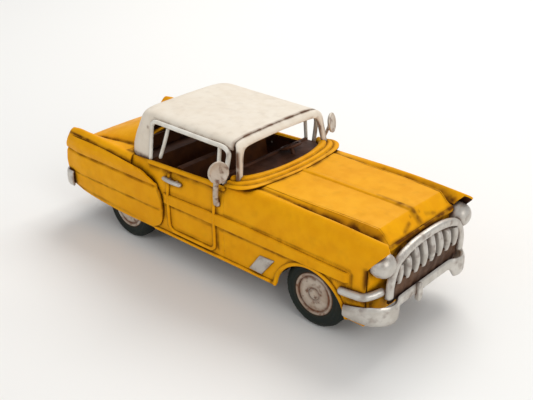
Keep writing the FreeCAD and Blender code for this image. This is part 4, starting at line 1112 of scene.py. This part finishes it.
def mirror():
    """Door mirror: a flattened arm from the door's front edge and a dished round head."""
    arm = tube([(9.3, HALF + 0.5, 33.4), (10.2, HALF + 1.6, 36.6), (11.4, HALF + 2.6, 41.0),
                (12.8, 30.5, 45.2), (13.4, 31.0, 47.8)], 0.95, flat=0.62)
    pad = lathe([(0.0, -0.6), (1.2, -0.5), (1.35, 0.0), (0.9, 0.45), (0.0, 0.55)],
                (9.4, HALF + 0.3, 33.6), (0, 1, 0), 24)
    profile = [(0.0, -0.55), (1.4, -0.75), (3.0, -0.6), (3.7, -0.2), (3.9, 0.25), (3.8, 0.7),
               (3.45, 0.85), (3.2, 0.72), (2.4, 0.5), (1.2, 0.4), (0.0, 0.38)]
    head = lathe(profile, (14.0, 30.9, 48.0), (1, 0.4, 0.2), 48)
    return together([arm, pad, head])


def headlight():
    """Silver headlight dome with a turned rim."""
    profile = [(0.0, -2.9), (3.2, -2.9), (4.0, -1.6), (4.25, -0.6), (4.28, 0.2), (4.12, 0.7),
               (4.02, 0.95)]
    for turn in np.linspace(0.08, 1.5, 14):
        profile.append((4.02 * math.cos(turn), 0.95 + 3.3 * math.sin(turn)))
    return lathe(profile, (75.9, 22.7, 33.2), (1, 0.10, 0.02), 64)


def parking_light():
    """Bent light bar round the front corner."""
    return tube([
        (64.6, HALF + 0.7, 21.4), (69.5, HALF + 0.8, 21.9), (72.9, HALF + 0.5, 22.3),
        (74.8, 25.2, 22.8), (76.1, 22.4, 23.3)], 1.32, around=16)


for side, sign in SIDES:
    shell_piece("mirror_disc_" + side, on_side(mirror(), sign), DISC_SILVER, wobble=0.06, seed=41,
                replaces="mirror_" + side)
    shell_piece("lamp_dome_" + side, on_side(headlight(), sign), SILVER, wobble=0.05, seed=42,
                replaces="headlight_" + side)
    shell_piece("light_bar_" + side, on_side(parking_light(), sign), SILVER, wobble=0.06, seed=43,
                replaces="parking_light_" + side)


# ---- grille and bumpers

def grille_arch():
    """Heavy flat arch over the grille."""
    half = [
        (78.2, 21.1, 21.4), (78.3, 21.0, 26.0), (78.2, 19.4, 30.4), (78.0, 16.4, 33.3),
        (77.8, 9.4, 35.2), (77.7, 0, 35.7)]
    path = smooth_line(both_halves(half, (1, -1, 1)), 110)
    rings = []
    for point, direction in zip(path, directions(path)):
        forward = np.array([1.0, 0.0, 0.0])
        outward = np.cross(direction, forward)
        outward /= np.linalg.norm(outward)
        ring = []
        for turn in np.linspace(0, 2 * math.pi, 20, endpoint=False):
            across = squarish(math.cos(turn), 0.7) * 1.45
            depth = squarish(math.sin(turn), 0.8) * 1.15
            ring.append(point + outward * across + forward * depth)
        rings.append(ring)
    return loft(rings)


def tooth(middle, top):
    """One blade of the grille, rounded and swelling forwards."""
    rings = []
    line = through([
        (78.4, 24.5), (79.1, 25.2), (79.6, 27.6), (79.7, 29.6), (79.2, 31.8), (78.3, top - 0.4),
        (77.6, top)], 20)
    for index, (front, z) in enumerate(line):
        share = index / (len(line) - 1)
        half = 0.8 + 0.6 * share
        ring = []
        for turn in np.linspace(-math.pi / 2, math.pi / 2, 11):
            across = math.sin(turn) * half
            bulge = math.cos(turn) ** 0.6 if math.cos(turn) > 1e-6 else 0.0
            ring.append((76.2 + (front - 76.2) * (0.35 + 0.65 * bulge), middle + across, z))
        ring.append((76.0, middle + half, z))
        ring.append((76.0, middle - half, z))
        rings.append(ring)
    return loft(rings)


def teeth():
    """Row of eight blades, longest in the middle."""
    parts = []
    for index in range(8):
        middle = (index - 3.5) * 4.7
        parts.append(tooth(middle, 34.6 - 0.012 * middle ** 2))
    return together(parts)


def valance():
    """Curved sheet under the blades."""
    grid = []
    for y in np.linspace(-19.4, 19.4, 60):
        line = through([(78.5, 25.6), (78.3, 24.0), (78.0, 22.0), (77.7, 19.8), (77.3, 17.6)], 18)
        dent = 0.25 * math.sin(y * 1.34)
        grid.append([(x - 0.15 + dent * 0.5, y, z) for x, z in line])
    return grid_part(grid)


def bumper(plan, low, high):
    """Curved metal band along a plan line that is the same on both sides."""
    line = both_halves(smooth_line(plan, 80), (1, -1))
    forward = math.copysign(1.0, plan[-1][0])
    grid = []
    for (x, y), (ax, ay) in zip(line, directions(line)):
        outward = np.array([-ay, ax])
        if outward[0] * forward < -0.05 or (abs(outward[0]) < 0.3 and outward[1] * y < 0):
            outward = -outward
        middle = float(soft((17.2 - abs(y)) / 2.0))
        top = high
        bottom = low
        if forward > 0:
            top -= np.clip((BUMPER_BEND_X - x) / 10.0, 0, 1) * END_DROP
            bottom += middle * MIDDLE_RISE
        strip = []
        for share in np.linspace(0, 1, 15):
            hollow = 0.75 * abs(2 * share - 1) ** 4
            z = bottom + (top - bottom) * share
            crease = 0.15 * max(0.0, 1 - abs(share - 0.7) / 0.08)
            px, py = np.array([x, y]) - outward * (hollow + crease)
            strip.append((px, py, z))
        grid.append(strip)
    return grid_part(grid)


BUMPER_BEND_X = 76.0
END_DROP = 2.6
MIDDLE_RISE = 3.1
FRONT_PLAN = [
    (65.6, 28.3), (71.5, 28.3), (76.4, 27.0), (79.7, 23.6), (80.8, 20.2), (80.2, 17.6), (79.0, 15.4),
    (78.8, 12.0), (78.8, 6.0), (78.8, 0),
]
REAR_PLAN = [(-72.6, 29.2), (-76.2, 28.8), (-79.0, 26.0), (-80.2, 20.6), (-80.85, 11.0), (-80.85, 0)]

shell_piece("grille_arch", grille_arch(), SILVER, wobble=0.10, seed=51, replaces="grille_frame")
shell_piece("grille_blades", teeth(), SILVER, wobble=0.08, seed=52, replaces="grille_teeth")
shell_piece("grille_apron", valance(), RUST, (1, 0, 0), metal=0.8, seed=53, replaces="front_valance")
shell_piece("bumper_front_band", bumper(FRONT_PLAN, 12.2, 19.3), SILVER, (1, 0, 0), metal=1.0, edge=0.3,
            wobble=0.12, seed=54, replaces="front_bumper")
shell_piece("bumper_rear_band", bumper(REAR_PLAN, 14.3, 21.3), SILVER, (-1, 0, 0), metal=1.0, edge=0.3,
            wobble=0.12, seed=55, replaces="rear_bumper")


GUARD_X = 79.2
GUARD_Y = -4.8


def guard():
    """Small upright guard on the front bumper, to the right of the middle."""
    rings = []
    for z, size in ((13.2, 0.5), (13.5, 0.85), (14.2, 1.0), (16.0, 1.0), (18.8, 1.0), (19.5, 0.85),
                    (19.8, 0.5)):
        ring = []
        for turn in np.linspace(0, 2 * math.pi, 20, endpoint=False):
            x = squarish(math.cos(turn), 0.6) * 1.25 * size
            y = squarish(math.sin(turn), 0.6) * 1.2 * size
            ring.append((GUARD_X + x * 0.8, GUARD_Y + y, z))
        rings.append(ring)
    return loft(rings)


def taillight():
    """Red lamp at the end of the quarter's shoulder."""
    profile = [(0.0, -1.6), (1.9, -1.5), (2.15, -0.5), (2.1, 0.2), (1.8, 0.9), (1.2, 1.6), (0.6, 2.0),
               (0.0, 2.15)]
    return lathe(profile, (-75.6, 24.4, 32.4), (-1, 0, 0.05), 40)


shell_piece("guard_block", guard(), SILVER, wobble=0.05, seed=56, replaces="bumper_guard")
shell_piece("tail_lamps", both(taillight()), LAMP, wobble=0.02, seed=57, replaces="taillights")


# ---- wheels

def tyre_profile():
    """Half section of the tyre: round shoulders, sidewall beads and fine tread grooves."""
    tread_radius = WHEEL_R - 0.05
    inner = [(RIM_R - 0.1, 0.5), (RIM_R + 0.3, 0.15), (RIM_R + 1.0, 0.05), (RIM_R + 1.5, 0.3),
             (RIM_R + 1.8, 0.05), (tread_radius - 2.2, 0.02), (tread_radius - 1.3, 0.25),
             (tread_radius - 0.5, 0.9), (tread_radius - 0.1, 1.8)]
    tread = []
    for groove in (2.4, 3.5, 4.6):
        tread += [(tread_radius, groove - 0.45), (tread_radius - 0.02, groove - 0.2),
                  (tread_radius - 0.4, groove - 0.12), (tread_radius - 0.4, groove + 0.12),
                  (tread_radius - 0.02, groove + 0.2)]
    outer = [(radius, TYRE_WIDTH - depth) for radius, depth in reversed(inner)]
    return [(radius, -depth) for radius, depth in inner + tread + outer]


def wheel_parts(x, sign):
    """Tyre and rim of one wheel at the outer face of that side."""
    centre = (x, sign * WHEEL_FACE, AXLE_Z)
    facing = (0, sign, 0)
    rim = [
        (0.0, 0.38), (0.8, 0.32), (1.5, 0.05), (1.9, -0.3), (2.1, -0.5), (2.5, -0.42), (2.8, -0.3),
        (3.6, -0.28), (4.6, -0.3), (5.6, -0.34), (6.2, -0.42), (6.45, -0.5), (6.7, -0.36), (7.2, -0.12),
        (7.6, -0.1), (RIM_R - 0.02, -0.5), (RIM_R - 0.02, -6.3), (6.9, -6.4), (6.5, -5.8), (3.1, -5.8),
        (2.6, -6.7), (1.3, -6.75), (0.0, -6.75),
    ]

    def ribs(radius, turn):
        shoulder = WHEEL_R - 1.6 < radius < WHEEL_R - 0.3
        return 0.10 * (math.sin(turn * 60) > 0.0) - 0.05 if shoulder else 0.0

    return lathe(tyre_profile(), centre, facing, 120, ribs), lathe(rim, centre, facing, 72)


for end, x in (("front", FRONT_AXLE_X), ("rear", REAR_AXLE_X)):
    for axle_side, sign in SIDES:
        # patina and painted shade in the grooves of the wheel discs
        for radius, width, strength in ((2.3, 0.9, 0.9), (6.4, 1.1, 0.95), (7.8, 0.8, 0.8)):
            add_patina_and_shade([(x + radius * math.cos(turn), WHEEL_FACE - 0.4, AXLE_Z + radius * math.sin(turn))
                   for turn in np.linspace(0, 2 * math.pi, 25)], width, strength)
        rubber, disc = wheel_parts(x, sign)
        body = end + "_wheels"
        shell_piece(f"{end}_rubber_{axle_side}", rubber, RUBBER, body=body, wobble=0.05, seed=61,
                    weld=0.005, replaces=f"{end}_tyre_{axle_side}")
        shell_piece(f"{end}_disc_{axle_side}", disc, DISC_SILVER, body=body, wobble=0.03, seed=62,
                    weld=0.005, replaces=f"{end}_rim_{axle_side}")


# ---- inside and underneath

INNER_LOOKS = {
    "floor_pan": UNDERSIDE, "dashboard": INSIDE, "steering_wheel": INSIDE, "steering_column": INSIDE,
    "front_seat": LEATHER, "rear_seat": LEATHER, "front_axle_bracket": UNDERSIDE,
    "motor_plate_right": STEEL, "motor_plate_left": STEEL, "motor_spacers": STEEL,
    "front_axle": STEEL, "rear_axle": STEEL, "axle_gear": BRASS, "idler_gear": BRASS,
    "idler_shaft": STEEL, "flywheel": LEAD, "flywheel_shaft": STEEL,
}
for name, look in INNER_LOOKS.items():
    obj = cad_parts[name]
    obj.data.materials.clear()
    obj.data.materials.append(look)
    round_edges(obj, 0.25 if name in ("front_seat", "rear_seat", "dashboard") else 0.08)

# ---- floor, light and camera

bpy.ops.mesh.primitive_plane_add(size=6.0, location=(0, 0, 0))
ground = bpy.context.object
ground.name = "ground"
paper = bpy.data.materials.new("pale ground")
paper.use_nodes = True
paper_inputs = paper.node_tree.nodes["Principled BSDF"].inputs
paper_inputs["Base Color"].default_value = srgb(238, 236, 232)
paper_inputs["Roughness"].default_value = 0.7
ground.data.materials.append(paper)

world = bpy.data.worlds.new("studio")
bpy.context.scene.world = world
world.use_nodes = True
sky = world.node_tree.nodes["Background"].inputs
sky["Color"].default_value = (0.93, 0.96, 1.0, 1.0)
sky["Strength"].default_value = 0.55


def soft_light(name, place, target, size, power, colour):
    """Large rectangular studio light aimed at a point."""
    data = bpy.data.lights.new(name, "AREA")
    data.shape = "RECTANGLE"
    data.size, data.size_y = size
    data.energy = power
    data.color = colour
    light = bpy.data.objects.new(name, data)
    light.location = Vector(place)
    light.rotation_euler = (Vector(target) - Vector(place)).to_track_quat("-Z", "Y").to_euler()
    bpy.context.scene.collection.objects.link(light)


soft_light("window light", (-0.15, 0.55, 0.75), (0, 0, 0.02), (0.7, 0.5), 5.5, (1.0, 0.98, 0.95))
soft_light("front fill", (0.8, -0.25, 0.5), (0, 0, 0.03), (0.5, 0.5), 2.5, (1.0, 0.99, 0.97))
soft_light("side fill", (-0.2, -0.8, 0.55), (0, 0, 0.03), (0.6, 0.4), 0.9, (0.95, 0.97, 1.0))

CAMERA_PLACE = Vector((197.95, -214.14, 167.08)) * MM
CAMERA_AIM = Vector((-0.5931, 0.6700, -0.4464)).normalized()
CAMERA_ROLL = math.radians(0.22)
camera_data = bpy.data.cameras.new("camera")
camera_data.sensor_width = 36.0
camera_data.lens = 57.55
camera_data.clip_start = 0.01
camera = bpy.data.objects.new("camera", camera_data)
bpy.context.scene.collection.objects.link(camera)
bpy.context.scene.camera = camera
aim = CAMERA_AIM.to_track_quat("-Z", "Y").to_matrix().to_4x4()
camera.matrix_world = Matrix.Translation(CAMERA_PLACE) @ aim @ Matrix.Rotation(CAMERA_ROLL, 4, "Z")
bpy.context.scene.view_settings.view_transform = "Standard"
